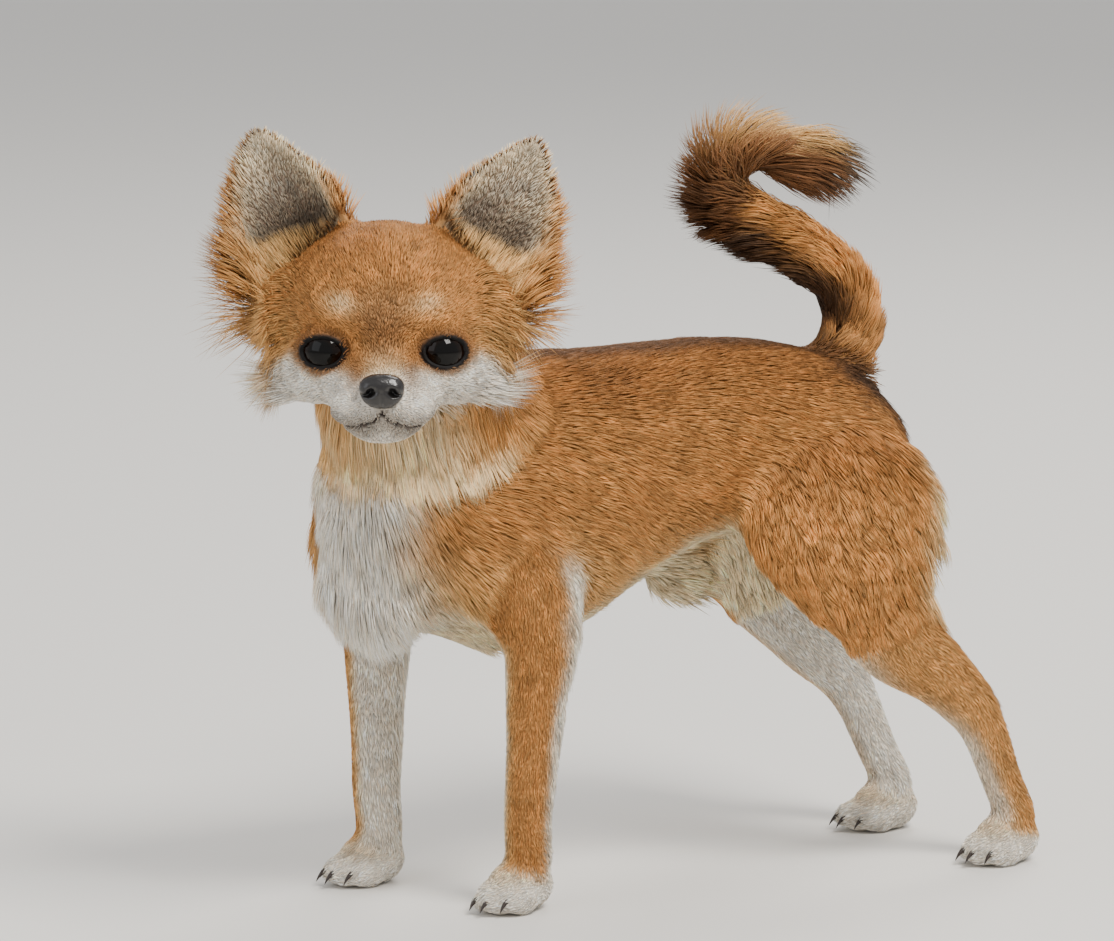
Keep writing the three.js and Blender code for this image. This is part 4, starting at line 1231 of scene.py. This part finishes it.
def nose_piece():
    """The leather: a rounded block, wider above, with two nostrils, wings and the groove between."""
    rows, sides = 90, 120
    verts, faces = ball((0, 0, 0), (1, 1, 1), rows=rows, sides=sides)
    v = verts / np.linalg.norm(verts, axis=1, keepdims=True)
    v = np.sign(v) * np.abs(v) ** np.array([0.86, 0.9, 0.86])
    p = v * NOSE_HALF
    p[:, 0] *= 1 + 0.13 * np.clip(v[:, 2], -1, 1)
    ax, z = np.abs(p[:, 0]), p[:, 2]
    fore = step(0.2, -0.4, v[:, 1])
    hole = bell((ax - 3.7) / 1.35, (z + 0.2 + 0.25 * (ax - 3.7)) / 1.15) * fore
    slit = bell((ax - 5.6) / 1.6, (z + 1.7 - 0.1 * ax) / 0.55) * fore
    middle = bell(p[:, 0] / 0.5) * step(2.5, -1, z) * fore
    wing = bell((ax - 5.2) / 1.5, (z - 1.0) / 1.6) * fore
    p[:, 1] += 3.0 * hole + 1.2 * slit + 0.7 * middle - 0.35 * wing
    pebble = value_noise(p, 0.9, 31) * 0.07 * (1 - hole)
    p = p + v * pebble[:, None]
    obj = new_object("nose_leather", from_head(p + NOSE_AT), faces)
    # The nostrils are painted near black: painted shade in their hollows.
    paint(obj, mix((0.075, 0.06, 0.056), (0.01, 0.008, 0.008), np.clip(hole * 1.2, 0, 1)))
    return obj


def claws():
    """Where each claw of each paw starts, and its forward direction."""
    for x, y, turn in PAWS:
        turned = rotation(z=turn)
        for across, ahead, half in TOES:
            start = turned @ (across, -ahead - half[1] + 2.2, 5.6) + (x, y, 0)
            yield start, turned @ (across * 0.02, -1, 0)


def claw_piece():
    """All the claws: tapered, curved down and a little flattened."""
    long, radius, blunt = 4.3, 1.25, 0.12
    verts, faces = [], []
    rings, sides = 8, 10
    up = np.array([0.0, 0, 1])
    for start, ahead in claws():
        base = len(verts)
        across = unit(np.cross(ahead, up))
        for i in range(rings):
            t = i / (rings - 1)
            middle = start + ahead * (long * t) + up * (0.8 * t - 4.2 * t * t)
            size = radius * (1 - t) ** 0.6 + blunt
            for k in range(sides):
                angle = 2 * math.pi * k / sides
                wide = across * (0.75 * size * math.cos(angle))
                verts.append(middle + wide + up * (size * math.sin(angle)))
        faces += ring_faces(rings, sides, base)
        faces.append(tuple(base + k for k in reversed(range(sides))))
        faces.append(tuple(base + (rings - 1) * sides + k for k in range(sides)))
    p = np.array(verts)
    p[:, 2] = np.maximum(p[:, 2], FLOOR_GAP)
    obj = new_object("claws", p, faces)
    paint(obj, (0.16, 0.12, 0.1))
    return obj


# Build

surface = Surface(*remeshed(skin_forms()))
fields = shape_skin(surface)

skin = new_object("skin", surface.p, surface.quads.tolist())
skin_colour = fields.colour * (0.88 + 0.06 * value_noise(surface.p, 2.2, 41))[:, None]
skin_colour = mix(skin_colour, (0.12, 0.08, 0.07), step(0.25, 0.6, fields.lip))
skin_colour = mix(skin_colour, (0.06, 0.04, 0.035), step(1.35, 1.12, fields.from_eye))
bare_ear = fields.ear_front * step(0.22, 0.4, fields.s) * step(0.95, 0.6, fields.s)
skin_colour = mix(skin_colour, (0.5, 0.41, 0.35), 0.5 * bare_ear)
paint(skin, np.clip(skin_colour, 0, 1))
skin.data.materials.append(material("skin_under_coat", 0.75, 0.25, 900, 0.12, bump=0.0006))

hair = material("coat_hair", 0.62, 0.22, 700, 0.06)
coat = []
for row in COATS:
    coat += tuft_coat(fields, *row)
for piece in coat:
    piece.data.materials.append(hair)

wet_black = material("eye_gloss", 0.04, 0.18, 300, 0.1)
leather = material("nose_leather", 0.3, 0.5, 1600, 0.2, bump=0.0002, coat=0.25)
lid_skin = material("lid_skin", 0.65, 0.2, 1500, 0.15, bump=0.0001)
horn = material("claw_horn", 0.35, 0.5, 700, 0.25, bump=0.0001)

eyes = [eye_piece(1, "eyeball_l"), eye_piece(-1, "eyeball_r")]
rims = [rim_piece(1, "lid_rim_l"), rim_piece(-1, "lid_rim_r")]
nose = nose_piece()
claw = claw_piece()
for pieces, finish in ((eyes, wet_black), (rims, lid_skin), ([nose], leather), ([claw], horn)):
    for piece in pieces:
        piece.data.materials.append(finish)

own_pieces = {"eye_l", "eye_r", "nose"}
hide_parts(*[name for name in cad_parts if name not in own_pieces])
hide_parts("eye_l")
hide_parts("eye_r")
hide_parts("nose")
for piece in [skin, *coat, *eyes, *rims, nose, claw]:
    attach(piece, "root")

# Stage, light and camera


def plain(name, colour, roughness):
    made = bpy.data.materials.new(name)
    made.use_nodes = True
    shader = made.node_tree.nodes["Principled BSDF"]
    shader.inputs["Base Color"].default_value = (*linear(colour), 1)
    shader.inputs["Roughness"].default_value = roughness
    return made


FLOOR_SIZE, SKY_STRENGTH = 24, 0.75

bpy.ops.mesh.primitive_plane_add(size=FLOOR_SIZE)
floor = bpy.context.object
floor.name = "floor"
floor.data.materials.append(plain("pale_floor", (0.86, 0.85, 0.83), 0.9))

world = bpy.data.worlds.new("studio")
bpy.context.scene.world = world
world.use_nodes = True
sky = world.node_tree.nodes["Background"]
sky.inputs["Color"].default_value = (0.98, 0.985, 1.0, 1)
sky.inputs["Strength"].default_value = SKY_STRENGTH

CAMERA_AZIMUTH = 60
CAMERA_HEIGHT = 9
CAMERA_DISTANCE = 2400
CAMERA_TARGET = (-26.25, -8.52, 142.74)
PIXELS_PER_MM = 2.8235
PHOTO_WIDTH = 1114
SENSOR = 36


def round_model(azimuth, elevation, distance):
    a, e = azimuth * DEG, elevation * DEG
    way = np.array([math.sin(a) * math.cos(e), -math.cos(a) * math.cos(e), math.sin(e)])
    return np.array(CAMERA_TARGET) + way * distance


def lamp(name, azimuth, elevation, distance, size, watts, colour):
    data = bpy.data.lights.new(name, "AREA")
    data.energy, data.size, data.color = watts, size, colour
    obj = bpy.data.objects.new(name, data)
    aim(obj, round_model(azimuth, elevation, distance))
    bpy.context.scene.collection.objects.link(obj)


def aim(obj, at):
    obj.location = placed([at])[0]
    look = Vector(placed([CAMERA_TARGET])[0]) - obj.location
    obj.rotation_euler = look.to_track_quat("-Z", "Y").to_euler()


# name, azimuth from the camera's, elevation, distance, size, watts and colour
LAMPS = [
    ("key", 38, 52, 1900, 0.7, 46, (1.0, 0.965, 0.91)),
    ("fill", -55, 25, 2300, 1.6, 12, (0.92, 0.96, 1.0)),
    ("rim", 160, 45, 2000, 1.0, 22, (1.0, 0.97, 0.93)),
]
for lamp_name, beside, *settings in LAMPS:
    lamp(lamp_name, CAMERA_AZIMUTH + beside, *settings)

lens = bpy.data.cameras.new("camera")
lens.sensor_width = SENSOR
lens.lens = PIXELS_PER_MM * CAMERA_DISTANCE / PHOTO_WIDTH * SENSOR
lens.clip_end = 100
camera = bpy.data.objects.new("camera", lens)
bpy.context.scene.collection.objects.link(camera)
aim(camera, round_model(CAMERA_AZIMUTH, CAMERA_HEIGHT, CAMERA_DISTANCE))
bpy.context.scene.camera = camera
